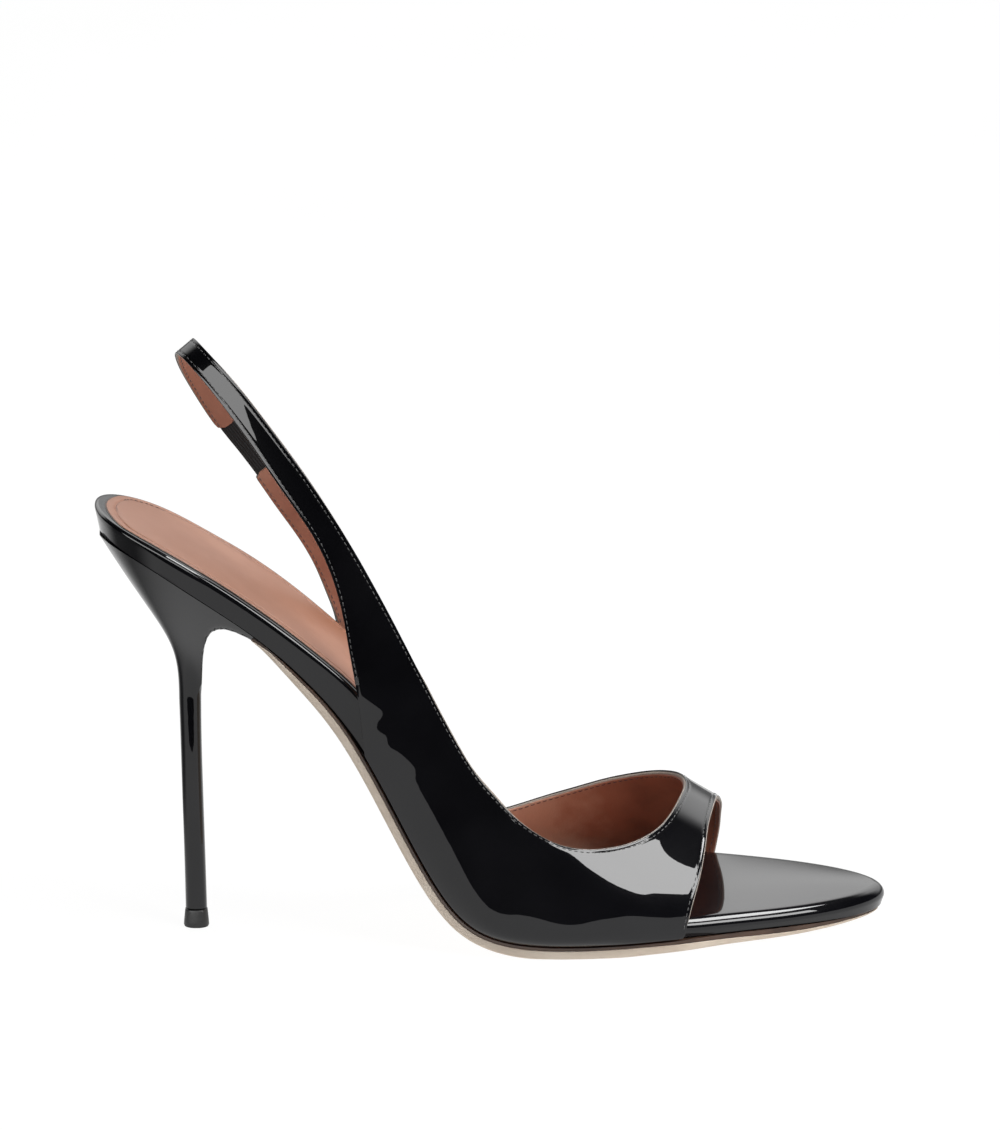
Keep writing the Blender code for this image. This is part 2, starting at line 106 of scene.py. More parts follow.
# Sections of the sole: a row for each place along the shoe
SOLE = table("from_heel centre half_width seat rim outsole arch_raise", [
    (0.0, 0.0, 25.2, 109.0, 6.6, 0.9, -0.6),
    (6.0, 0.0, 25.2, 107.0, 6.0, 0.9, -0.7),
    (12.5, 0.0, 25.2, 104.1, 5.75, 0.9, -0.75),
    (25.5, 0.0, 25.2, 96.2, 6.2, 0.9, -1.0),
    (33.0, -0.2, 25.0, 91.1, 6.3, 0.9, -0.4),
    (42.3, -0.9, 24.3, 84.3, 6.3, 1.1, 0.5),
    (54.9, -2.0, 22.8, 72.5, 7.4, 2.4, 1.2),
    (67.7, -2.6, 21.5, 56.1, 8.7, 2.9, 1.7),
    (79.5, -2.9, 22.4, 33.9, 7.5, 2.9, 2.3),
    (87.3, -2.5, 24.6, 19.6, 6.5, 2.9, 2.0),
    (94.5, -1.7, 27.5, 10.2, 5.9, 2.9, 1.3),
    (101.3, -0.6, 30.4, 5.9, 5.5, 3.0, 0.7),
    (108.5, 0.9, 32.9, 4.0, 5.2, 3.2, 0.3),
    (118.0, 2.7, 35.6, 3.3, 5.0, 3.3, 0.0),
    (131.0, 4.3, 36.8, 3.3, 5.0, 3.3, 0.0),
    (144.0, 5.1, 36.25, 3.6, 5.0, 3.0, 0.0),
    (157.0, 5.5, 35.1, 3.9, 5.0, 2.9, 0.0),
    (170.0, 5.6, 34.4, 4.1, 4.8, 2.7, 0.0),
    (183.0, 5.6, 34.6, 4.0, 4.8, 2.2, 0.0),
    (205.2, 5.6, 35.2, 3.1, 5.7, 0.7, 0.0),
])

# Shaft of the heel: a row for each height
HEEL_SHAFT = table("height back front half_depth", [
    (5.2, 22.9, 28.5, 2.95),
    (22.0, 22.6, 28.1, 3.0),
    (42.0, 22.1, 27.6, 3.1),
    (55.0, 21.8, 27.4, 2.85),
    (62.0, 21.6, 27.4, 2.8),
])
HEEL_FRONT = 47.2
HEEL_AXIS = 24.8
HEEL_SQUARE = 2.4
HEEL_EDGE_ROUND = 0.12
SEAT_GAP = 0.06
SEAT_INSET = 1.3
SEAT_REACH = 60.0
SEAT_HALVINGS = 40
SEAT_RINGS = (0.75, 0.45, 0.15)

# Wearing cap of the heel: how far it stands out past the shaft at each height
HEEL_TIP = table("height spread", [
    (0.0, 0.05),
    (0.12, 0.35),
    (0.5, 0.5),
    (1.8, 0.4),
    (3.2, 0.27),
    (4.3, 0.15),
    (4.65, 0.08),
    (4.8, -0.1),
])

# Flare of the heel from shaft to seat: shares of the drop and of the way inwards at its two bending points
FLARE = table("lower_drop upper_drop upper_inward", [(0.62, 0.65, 0.83)])[0]

# Breast of the heel: the hollow between shaft and sole, cut straight across, with its front along the rim
BREAST = table("from_heel height", [
    (26.9, 40.0),
    (27.4, 60.0),
    (27.7, 68.0),
    (27.9, 74.0),
    (28.4, 78.5),
    (29.2, 82.0),
    (30.4, 84.2),
    (32.0, 85.4),
    (34.0, 85.8),
    (36.6, 85.3),
    (39.2, 84.2),
    (41.8, 82.9),
    (43.4, 82.0),
    (45.4, 80.9),
    (47.6, 79.5),
])
BREAST_ROUND = 0.7
BREAST_FOLLOWS = (34.0, 43.0)

# Ribs of the upper: each runs from the lower edge of its outer face to the edge of the throat. Round the toe
# they run on down to the sole, and the toe opening is cut out of them at a share of their length.
EDGE_RIB = "edge_x edge_y edge_z top_x top_y top_z bulge"
SIDE_RIB = "sole_x top_x top_y top_z bulge"
RIDGE = table(EDGE_RIB, [(203.5, 5.0, 5.0, 153.8, 5.0, 36.5, 0.0)])
RIDGE_CUT = 0.85
BACK = table(EDGE_RIB, [(21.2, 0.0, 155.2, 26.0, 0.0, 159.3, 0.0)])
TOE_RIB = SIDE_RIB + " cut"
LATERAL_TOE = table(TOE_RIB, [
    (198.0, 152.7, -5.0, 36.2, 1.5, 0.84),
    (189.0, 150.2, -14.2, 34.2, 2.6, 0.785),
    (176.7, 146.8, -20.4, 31.9, 2.8, 0.655),
    (166.9, 142.4, -24.6, 30.1, 2.4, 0.47),
    (159.6, 137.5, -27.7, 29.1, 2.3, 0.265),
])
LATERAL_SIDE = table(SIDE_RIB, [
    (153.0, 132.0, -30.2, 28.8, 2.3),
    (146.5, 126.0, -31.9, 29.3, 2.5),
    (138.5, 120.0, -32.6, 31.0, 2.5),
    (129.5, 114.0, -32.8, 34.3, 2.4),
    (119.5, 108.5, -32.4, 38.6, 2.3),
    (109.5, 104.0, -31.4, 43.2, 2.2),
    (100.5, 99.5, -30.0, 48.3, 2.1),
    (93.0, 95.5, -29.2, 54.5, 2.0),
    (86.5, 92.0, -28.5, 60.9, 1.8),
    (80.5, 88.5, -27.9, 67.7, 1.6),
    (75.0, 85.5, -27.4, 73.8, 1.4),
    (69.5, 82.3, -26.9, 80.3, 1.2),
])
LATERAL_SLING = table(EDGE_RIB, [
    (68.2, -26.3, 69.1, 79.0, -26.6, 87.0, 0.9),
    (66.4, -25.9, 79.7, 75.9, -26.2, 93.1, 0.6),
    (64.8, -25.4, 89.3, 73.0, -25.8, 98.6, 0.4),
    (62.3, -24.5, 99.5, 69.5, -25.1, 105.0, 0.2),
    (58.4, -23.8, 109.2, 65.5, -24.4, 111.9, 0.0),
    (53.6, -22.9, 117.2, 60.0, -23.6, 120.8, -0.1),
    (47.2, -21.5, 126.5, 53.2, -22.2, 130.8, -0.18),
    (40.6, -19.4, 136.3, 46.2, -20.0, 140.1, -0.2),
    (34.0, -16.4, 145.0, 39.2, -17.0, 148.8, -0.18),
    (28.2, -12.2, 151.5, 33.2, -12.9, 155.1, -0.1),
    (23.8, -7.0, 155.2, 28.8, -7.4, 158.6, 0.0),
])
MEDIAL_TOE = table(TOE_RIB, [
    (198.0, 152.6, 13.5, 36.4, 1.5, 0.795),
    (189.5, 149.2, 20.8, 35.3, 2.8, 0.675),
    (181.5, 144.4, 26.0, 33.8, 3.4, 0.53),
    (175.0, 138.4, 30.0, 31.8, 3.5, 0.367),
    (168.5, 132.0, 32.8, 29.6, 3.5, 0.2),
])
MEDIAL_SIDE = table(SIDE_RIB, [
    (161.0, 125.5, 34.6, 27.2, 3.5),
    (153.0, 119.0, 35.7, 25.0, 3.5),
    (144.0, 113.0, 35.7, 23.1, 3.4),
    (134.0, 107.5, 34.9, 21.6, 3.2),
    (123.5, 102.5, 33.4, 20.9, 2.9),
    (113.5, 98.0, 31.2, 21.6, 2.5),
    (104.5, 94.0, 28.6, 24.6, 2.2),
    (96.5, 90.5, 26.4, 29.6, 1.9),
    (90.0, 87.0, 24.7, 36.9, 1.7),
    (83.5, 83.5, 23.5, 45.6, 1.5),
    (77.5, 80.3, 22.7, 54.4, 1.3),
    (70.5, 77.0, 22.2, 63.6, 1.1),
    (63.8, 73.6, 22.0, 72.8, 0.9),
])
MEDIAL_SLING = table(EDGE_RIB, [
    (62.2, 22.3, 77.2, 70.2, 22.0, 81.6, 0.5),
    (60.1, 22.4, 83.5, 66.8, 22.0, 89.5, 0.3),
    (57.0, 22.1, 91.4, 63.2, 21.9, 97.3, 0.1),
    (52.6, 21.6, 99.4, 58.5, 21.5, 104.5, 0.0),
    (47.2, 20.8, 107.5, 52.8, 20.8, 111.6, 0.0),
    (41.3, 20.1, 116.6, 46.6, 20.1, 120.3, 0.0),
    (36.6, 19.0, 123.4, 41.8, 19.1, 126.9, 0.0),
    (32.2, 17.4, 129.6, 37.3, 17.6, 133.1, 0.0),
    (27.6, 14.6, 137.4, 32.7, 15.0, 140.9, 0.0),
    (23.9, 10.8, 144.9, 29.0, 11.2, 148.7, 0.0),
    (21.8, 5.8, 150.6, 26.8, 6.0, 154.9, 0.0),
])
ELASTIC_MIDDLE = 6

# Fullness of the upper's outer side along the sole: a short reach swells sharply above the sole, a high power
# leaves the upper part flat
FULLNESS = table("sole_x reach power", [
    (69.5, 2.0, 1.0),
    (88.0, 0.6, 1.3),
    (104.0, 0.06, 1.15),
    (118.0, 0.06, 1.05),
    (126.0, 0.06, 0.92),
    (134.0, 0.09, 0.72),
    (142.0, 0.22, 0.75),
    (153.0, 0.9, 1.6),
])
FULLNESS_EDGE = 0.02

# Layers of the upper: how deep each lies under the outer face, its inset from the edge and its edge round
LAYER = "outside inside inset edge_round"
PATENT_LAYER = table(LAYER, [(0.0, 0.36, 0.0, 0.18)])[0]
CORE_LAYER = table(LAYER, [(0.38, 1.12, 0.15, 0.15)])[0]
LINING_LAYER = table(LAYER, [(1.14, UPPER_WALL, 0.3, 0.15)])[0]
THROAT_SHOW = 0.42
TOE_SHOW = 0.5
SHOW_RUN = 14.0
TOE_SHOW_RUN = 4.0
CORE_BAND = 1.5
CORE_COLUMNS = 2
STRAP_END_ROUND = 1.7
ELASTIC_LAYER = table(LAYER, [(0.47, 1.02, 0.75, 0.2)])[0]
ELASTIC_RIBS = 7
ELASTIC_RIB_HEIGHT = 0.09
ELASTIC_RUN_IN = 3.0

# Sewing: inset of the rows from the edges, the channel that the thread pulls in, the size of a stitch, and
# the sock's pressed line, in shares of its half width and depth
STITCH_INSET = 1.0
STITCH_PITCH = 1.65
STITCH_LENGTH = 1.2
STITCH_RADIUS = 0.13
STITCH_SINK = 0.07
STITCH_TAPER = 0.96
STITCH_TAPER_POWER = 6
CHANNEL_DEPTH = 0.08
CHANNEL_HALF = 0.28
FOLD_INSET = 0.9
LATERAL_TACK = 144.0
MEDIAL_TACK = 456.0
TACK_STITCHES = 7
TACK_POINTS = 5
TACK_SPACING = 0.24
TACK_INSET = 0.95
TACK_LENGTH = 1.6
SOCK_LINE = 2.1
SOCK_LINE_DEPTH = 0.26
SOCK_LINE_HALF = 0.38
PRESSED_LINE = table("across deep", [
    (-1.0, 0.0),
    (-0.6, 0.3),
    (-0.2, 1.0),
    (0.2, 1.0),
    (0.6, 0.3),
    (1.0, 0.0),
])
SOCK_SEWN = (7.5, 17.0)
SOCK_STITCH_LENGTH = 1.0
SOCK_STITCH_SINK = 0.03
SOCK_STITCH_RADIUS = 0.11

# How finely the pieces are divided, the angle of a sharp edge and, in metres, how near points are merged
SOLE_STATIONS = 170
SOLE_ACROSS = 24
ARC_STEPS = 6
HEEL_SIDES = 144
HEEL_SHAFT_STEPS = 24
HEEL_FLARE_STEPS = 64
ROW_SPACING = 1.0
FACE_COLUMNS = 48
BACK_COLUMNS = 14
CORNER_STEPS = 3
STITCH_RINGS = 7
STITCH_SIDES = 6
SMOOTH_ANGLE = 40.0
MERGE_DISTANCE = 0.000001

# Soft troughs and ridges of the patent leather, placed on the outer and inner sides
CREASES = table("side x z turn half_length half_width height", [
    (-1, 73.0, 68.5, -20.0, 12.0, 3.2, 0.13),
    (-1, 79.0, 59.2, 31.0, 8.0, 2.0, -0.09),
    (-1, 81.0, 54.0, -34.0, 9.0, 2.4, 0.11),
    (1, 96.0, 20.0, -40.0, 10.0, 3.0, -0.06),
    (1, 118.0, 13.0, -15.0, 14.0, 3.0, 0.07),
])
CREASE_FADE = (0.0, 8.0)


def spline(at, knots, values):
    """Natural cubic curve through the values at the knots, read at the places asked for."""
    knots = np.asarray(knots, float)
    values = np.asarray(values, float)
    count = len(knots)
    step = np.diff(knots)
    system = np.eye(count)
    target = np.zeros_like(values)
    for i in range(1, count - 1):
        system[i, i - 1:i + 2] = (step[i - 1], 2 * (step[i - 1] + step[i]), step[i])
        target[i] = 6 * ((values[i + 1] - values[i]) / step[i] - (values[i] - values[i - 1]) / step[i - 1])
    bend = np.linalg.solve(system, target)
    at = np.asarray(at, float)
    low = np.clip(np.searchsorted(knots, at, side="right") - 1, 0, count - 2)
    span = step[low]
    left = (knots[low + 1] - at) / span
    right = 1 - left
    if values.ndim > 1:
        left, right, span = left[..., None], right[..., None], span[..., None]
    curve = (left ** 3 - left) * bend[low] + (right ** 3 - right) * bend[low + 1]
    return left * values[low] + right * values[low + 1] + curve * span ** 2 / 6


def unit(vectors):
    """Vectors of length one."""
    return vectors / np.linalg.norm(vectors, axis=-1, keepdims=True)


def ease(x, span):
    """Smooth share from 0 before a span to 1 after it."""
    share = np.clip((x - span[0]) / (span[1] - span[0]), 0.0, 1.0)
    return share ** 2 * (3 - 2 * share)


def sole_size(column, x):
    """One column of the sole's sections, read between its rows."""
    return spline(x, SOLE["from_heel"], SOLE[column])


def rounding(distance, reach, power):
    """Share of the full width at a distance from a rounded end of the outline."""
    share = np.clip(np.asarray(distance, float) / reach, 0.0, 1.0)
    return (1 - (1 - share) ** power) ** (1 / power)


def half_width(x):
    """Half of the rim's width, with the heel and the toe rounded off."""
    heel = rounding(x, HEEL_ROUND, HEEL_ROUND_POWER)
    toe = rounding(SHOE_LENGTH - np.asarray(x, float), TOE_ROUND, TOE_ROUND_POWER)
    return sole_size("half_width", x) * heel * toe


def seat_height(x, y):
    """Height of the rim's underside, raised towards the inner side of the arch."""
    half = np.maximum(sole_size("half_width", x), LEAST_HALF)
    across = np.clip((y - sole_size("centre", x)) / half, -WIDEST_SHARE, WIDEST_SHARE)
    return sole_size("seat", x) + sole_size("arch_raise", x) * (across + 1) / 2


def sole_normal(x):
    """Direction square to the sole in side view, upright at the back of the heel."""
    rise = sole_size("seat", x + SLOPE_NUDGE) - sole_size("seat", x - SLOPE_NUDGE)
    slope = rise / (2 * SLOPE_NUDGE) * ease(x, (0.0, UPRIGHT_BACK))
    length = np.hypot(slope, 1.0)
    return -slope / length, 1.0 / length


def sole_point(x, y, lift):
    """Points over the rim's underside at a distance measured square to the sole."""
    out_x, out_z = sole_normal(x)
    return np.stack([x + lift * out_x, y + 0 * x, seat_height(x, y) + lift * out_z], axis=-1)


def rounded_stations(start, end, count):
    """Places along the shoe, closer together towards both ends."""
    turn = np.linspace(0.0, np.pi, count)
    return start + (end - start) * (1 - np.cos(turn)) / 2


def plan_side(stations, half, side):
    """Plan points of one side of an outline and the outward directions square to it."""
    centre = sole_size("centre", stations)
    points = np.column_stack([stations, centre + side * half])
    other = np.column_stack([stations, centre - side * half])
    before = other[1] if half[0] < TIP_WIDTH else points[0]
    after = other[-2] if half[-1] < TIP_WIDTH else points[-1]
    wrapped = np.vstack([before, points, after])
    run = wrapped[2:] - wrapped[:-2]
    return points, side * unit(np.column_stack([-run[:, 1], run[:, 0]]))


def inset_side(stations, half, side, inset):
    """Plan points of one side moved inwards, kept on their own half of the shoe."""
    points, out = plan_side(stations, half, side)
    moved = points[:, None] - inset[..., None] * out[:, None]
    centre = sole_size("centre", moved[..., 0])
    moved[..., 1] = centre + side * np.maximum(side * (moved[..., 1] - centre), 0.0)
    return moved


def sole_layer(stations, half, inset, lift, crown=0.0):
    """Rings of one layer of the sole, from the insets and lifts of its side listed from bottom to top."""
    lateral = inset_side(stations, half, -1, inset)
    medial = inset_side(stations, half, 1, inset)
    shares = np.linspace(0.0, 1.0, SOLE_ACROSS + 1)[1:-1]
    top = lateral[:, -1:] + shares[:, None] * (medial[:, -1:] - lateral[:, -1:])
    bottom = medial[:, :1] + shares[:, None] * (lateral[:, :1] - medial[:, :1])
    plan = np.concatenate([lateral, top, medial[:, ::-1], bottom], axis=1)
    top_lift = lift[:, -1:] + crown * 4 * shares * (1 - shares)
    bottom_lift = np.repeat(lift[:, :1], len(shares), axis=1)
    lifts = np.concatenate([lift, top_lift, lift[:, ::-1], bottom_lift], axis=1)
    return sole_point(plan[..., 0], plan[..., 1], lifts)


def side_profile(stations, *steps):
    """Insets and lifts of a layer's side: each step is a pair, a number or one number a station."""
    shape = np.ones(len(stations))
    insets = np.stack([shape * inset for inset, _ in steps], axis=1)
    lifts = np.stack([shape * lift for _, lift in steps], axis=1)
    return insets, lifts


def lower_arc(radius, bottom):
    """Steps of a rounded lower edge, from the underside out to the side."""
    turns = np.linspace(0.0, np.pi / 2, ARC_STEPS + 1)
    return [(radius * (1 - np.sin(turn)), bottom + radius * (1 - np.cos(turn))) for turn in turns]


def upper_arc(radius, top):
    """Steps of a rounded upper edge, from the side in to the top."""
    turns = np.linspace(0.0, np.pi / 2, ARC_STEPS + 1)
    return [(radius * (1 - np.cos(turn)), top - radius * (1 - np.sin(turn))) for turn in turns]


def tube(rings, start_cap=True, end_cap=True):
    """Closed solid through a row of rings with the same number of points."""
    rings = np.asarray(rings)
    count, around = rings.shape[:2]
    row = np.arange(count - 1)[:, None] * around
    here = np.arange(around)[None, :]
    there = (here + 1) % around
    quads = np.stack([row + here, row + around + here, row + around + there, row + there], axis=-1)
    faces = quads.reshape(-1, 4).tolist()
    if start_cap:
        faces.append(list(range(around)))
    if end_cap:
        faces.append(list(range(count * around - 1, (count - 1) * around - 1, -1)))
    return rings.reshape(-1, 3), faces


def join(shapes):
    """Several shapes as one."""
    points = []
    faces = []
    offset = 0
    for shape_points, shape_faces in shapes:
        points.append(shape_points)
        faces.extend([[offset + i for i in face] for face in shape_faces])
        offset += len(shape_points)
    return np.concatenate(points), faces


def turned_over(shape):
    """The same shape with its faces pointing the other way."""
    points, faces = shape
    return points, [face[::-1] for face in faces]


def footbed_rim():
    """Insole board wrapped in patent leather, with a rounded upper edge."""
    stations = rounded_stations(0.0, SHOE_LENGTH, SOLE_STATIONS)
    thick = sole_size("rim", stations)
    top_round = RIM_TOP_ROUND + (RIM_TOE_ROUND - RIM_TOP_ROUND) * ease(stations, TOE_STRETCH)
    taper = RIM_TAPER[0] + (RIM_TAPER[1] - RIM_TAPER[0]) * ease(stations, TAPER_STRETCH)
    foot = [(inset + taper, lift) for inset, lift in lower_arc(RIM_BOTTOM_ROUND, 0.0)]
    rise = thick - top_round - RIM_BOTTOM_ROUND
    side = [(taper * (1 - share), RIM_BOTTOM_ROUND + share * rise) for share in RIM_SIDE_SHARES]
    inset, lift = side_profile(stations, *foot, *side, *upper_arc(top_round, thick))
    half = half_width(stations)
    crown = RIM_TOE_CROWN * ease(stations, CROWN_STRETCH) * ease(half, CROWN_HALF)
    return tube(sole_layer(stations, half, inset, lift, crown[:, None]), False, False)


def sock_outline():
    """Stations and half widths of the tan lining on the board."""
    stations = rounded_stations(SOCK_BACK, SOCK_FRONT, SOLE_STATIONS)
    half = half_width(stations) - SOCK_INSET
    half = half * rounding(stations - SOCK_BACK, SOCK_BACK_ROUND, HEEL_ROUND_POWER)
    return stations, half * rounding(SOCK_FRONT - stations, SOCK_FRONT_ROUND, HEEL_ROUND_POWER)


def sock():
    """Tan lining on the board, with a pressed line inside its edge."""
    stations, half = sock_outline()
    bottom = sole_size("rim", stations) + SOCK_LIFT
    top = bottom + SOCK_THICKNESS
    line = [(SOCK_LINE + row["across"] * SOCK_LINE_HALF, top - SOCK_LINE_DEPTH * row["deep"])
            for row in PRESSED_LINE]
    inset, lift = side_profile(stations, (0.0, bottom), *upper_arc(SOCK_EDGE_ROUND, top), *line)
    return tube(sole_layer(stations, half, inset, lift, SOCK_CROWN), False, False)


def sock_cut_edge():
    """Dark plate round the sock that stands out a little under its top: painted shade of the gap between sock
    and rim.
    """
    stations, half = sock_outline()
    bottom = sole_size("rim", stations) + SOCK_LIFT / 2
    inset, lift = side_profile(stations, (-SOCK_GAP_SHADE_REACH, bottom), (-SOCK_GAP_SHADE_REACH, bottom + SOCK_GAP_SHADE_HEIGHT))
    return tube(sole_layer(stations, half, inset, lift), False, False)


def sole_leather(stained):
    """Cream lower layer of the outsole, or the stained one over it, which is the whole edge at the start."""
    stations = rounded_stations(OUTSOLE_START, SHOE_LENGTH, SOLE_STATIONS)
    thick = sole_size("outsole", stations)
    under_panel = ease(stations, PANEL_START) * (1 - ease(stations, PANEL_END))
    edge = OUTSOLE_INSET - OUTSOLE_UNDER_PANEL * under_panel + OUTSOLE_TOE_INSET * ease(stations, OUTSOLE_TOE)
    edge = edge + OUTSOLE_HEEL_INSET * (1 - ease(stations, OUTSOLE_HEEL))
    split = STAINED_SHARE + (1 - STAINED_SHARE) * (1 - ease(stations, STAINED_START))
    split = split + STAINED_TOE_SHARE * ease(stations, STAINED_TOE)
    low = -PIECE_GAP - thick * (split if stained else 1.0)
    high = -PIECE_GAP - thick * (0.0 if stained else split)
    edge = edge + (STAINED_INSET if stained else 0.0)
    bevel = np.minimum(STAINED_INSET if stained else OUTSOLE_BEVEL, THIN_SHARE * (high - low))
    steps = lower_arc(bevel, low) + upper_arc(bevel / ARC_STEPS, high)
    inset, lift = side_profile(stations, *steps)
    rings = sole_layer(stations, half_width(stations), inset + edge[:, None], lift)
    rings[..., 2] = np.maximum(rings[..., 2], 0.0)
    return tube(rings, True, False)


def shaft_ring(height, back, front, half_depth, spread=0.0):
    """Rounded-square section of the heel's shaft."""
    middle = (back + front) / 2
    reach = (front - back) / 2 + spread
    turn = np.linspace(0.0, 2 * np.pi, HEEL_SIDES, endpoint=False)
    power = 2 / HEEL_SQUARE
    along = np.sign(np.cos(turn)) * np.abs(np.cos(turn)) ** power
    across = np.sign(np.sin(turn)) * np.abs(np.sin(turn)) ** power
    return np.column_stack([
        middle + reach * along,
        (half_depth + spread) * across,
        np.full(HEEL_SIDES, height),
    ])


def seat_outline(turns):
    """Points of the heel's seat in directions from the heel's axis, found by halving."""
    near = np.zeros(len(turns))
    far = np.full(len(turns), SEAT_REACH)
    for _ in range(SEAT_HALVINGS):
        reach = (near + far) / 2
        x = HEEL_AXIS + reach * np.cos(turns)
        y = reach * np.sin(turns)
        inside = (x > SEAT_INSET) & (x < HEEL_FRONT)
        inside &= np.abs(y - sole_size("centre", x)) < half_width(x) - SEAT_INSET
        near = np.where(inside, reach, near)
        far = np.where(inside, far, reach)
    return np.column_stack([HEEL_AXIS + near * np.cos(turns), near * np.sin(turns)])


def on_seat(plan, lift):
    """Points of the plan set under the rim."""
    return sole_point(plan[:, 0], plan[:, 1], np.full(len(plan), lift))


def heel():
    """Covered heel block: slim shaft, flare to the seat and a seat that follows the rim."""
    heights = np.linspace(HEEL_SHAFT["height"][0], HEEL_SHAFT["height"][-1], HEEL_SHAFT_STEPS)
    sizes = [spline(heights, HEEL_SHAFT["height"], HEEL_SHAFT[name]) for name in HEEL_SHAFT.dtype.names]
    rings = [shaft_ring(*row) for row in zip(*sizes)]
    turns = np.linspace(0.0, 2 * np.pi, HEEL_SIDES, endpoint=False)
    plan = seat_outline(turns)
    seat = on_seat(plan, -SEAT_GAP - HEEL_EDGE_ROUND)
    foot = rings[-1]
    drop = seat[:, 2] - foot[:, 2]
    lower = foot.copy()
    lower[:, 2] = seat[:, 2] - FLARE["lower_drop"] * drop
    upper = seat + (foot - seat) * FLARE["upper_inward"]
    upper[:, 2] = seat[:, 2] - FLARE["upper_drop"] * drop
    for share in np.linspace(0.0, 1.0, HEEL_FLARE_STEPS + 1)[1:]:
        rest = 1 - share
        ring = rest ** 3 * foot + 3 * rest ** 2 * share * lower
        ring = ring + 3 * rest * share ** 2 * upper + share ** 3 * seat
        under_rim = seat_height(ring[:, 0], ring[:, 1])
        breast = np.interp(ring[:, 0], BREAST["from_heel"], BREAST["height"])
        breast = breast + ease(ring[:, 0], BREAST_FOLLOWS) * (under_rim - sole_size("seat", ring[:, 0]))
        ceiling = under_rim - SEAT_GAP - HEEL_EDGE_ROUND
        over = np.hypot(ring[:, 2] - breast, BREAST_ROUND)
        ring[:, 2] = np.minimum((ring[:, 2] + breast + over) / 2, ceiling)
        rings.append(ring)
    axis = np.array([HEEL_AXIS, 0.0])
    inwards = HEEL_EDGE_ROUND * unit(axis - plan)
    rings.append(on_seat(plan + inwards, -SEAT_GAP))
    for share in SEAT_RINGS:
        rings.append(on_seat(axis + share * (plan - axis), -SEAT_GAP))
    return turned_over(tube(rings))


def heel_tip():
    """Wearing cap under the shaft, a little wider at the floor."""
    foot = HEEL_SHAFT[0]
    rings = [shaft_ring(row["height"], foot["back"], foot["front"], foot["half_depth"], row["spread"])
             for row in HEEL_TIP]
    return turned_over(tube(rings))


def stand_on_sole(rows, side):
    """Ribs whose lower end lies on the sole, just outside the rim. Side is -1 lateral, 1 medial."""
    ribs = []
    for row in rows:
        sole_x = row["sole_x"]
        reach = float(half_width(sole_x)) + PIECE_GAP + UPPER_WALL
        edge = sole_point(sole_x, float(sole_size("centre", sole_x)) + side * reach, PANEL_BASE)
        ribs.append((*edge, row["top_x"], row["top_y"], row["top_z"], row["bulge"]))
    return table(EDGE_RIB, ribs)


def upper_ribs():
    """Ribs round the shoe from the middle of the elastic back to it, their cuts, and the ribs at corners."""
    around = [
        MEDIAL_SLING[ELASTIC_MIDDLE:],
        BACK,
        LATERAL_SLING[::-1],
        stand_on_sole(LATERAL_SIDE, -1)[::-1],
        stand_on_sole(LATERAL_TOE, -1)[::-1],
        RIDGE,
        stand_on_sole(MEDIAL_TOE, 1),
        stand_on_sole(MEDIAL_SIDE, 1),
        MEDIAL_SLING[:ELASTIC_MIDDLE + 1],
    ]
    ends = np.cumsum([len(rows) for rows in around])
    corners = [0, ends[2], ends[3] - 1, ends[6], ends[7] - 1, ends[8] - 1]
    cuts = np.zeros(ends[-1])
    cuts[ends[3]:ends[6]] = np.concatenate([LATERAL_TOE["cut"][::-1], [RIDGE_CUT], MEDIAL_TOE["cut"]])
    return np.concatenate(around), cuts, corners


def rib_ends(ribs, end):
    """Points at one end of the ribs: edge or top."""
    return np.column_stack([ribs[end + "_x"], ribs[end + "_y"], ribs[end + "_z"]])


RIBS, CUTS, CORNERS = upper_ribs()
MIDDLE_SHARES = (1 + CUTS[:, None]) / 2
RIB_MIDDLES = rib_ends(RIBS, "edge") * (1 - MIDDLE_SHARES) + rib_ends(RIBS, "top") * MIDDLE_SHARES
KNOTS = np.concatenate([[0.0], np.cumsum(np.linalg.norm(np.diff(RIB_MIDDLES, axis=0), axis=1))])
CORNER_PLACES = KNOTS[CORNERS]
FOOT_CORNERS = [CORNERS[0], CORNERS[1], CORNERS[4], CORNERS[5]]
STRAP_START, STRAP_END = KNOTS[1], KNOTS[-2]
RIDGE_PLACE = KNOTS[CORNERS[2] + len(LATERAL_TOE) + 1]


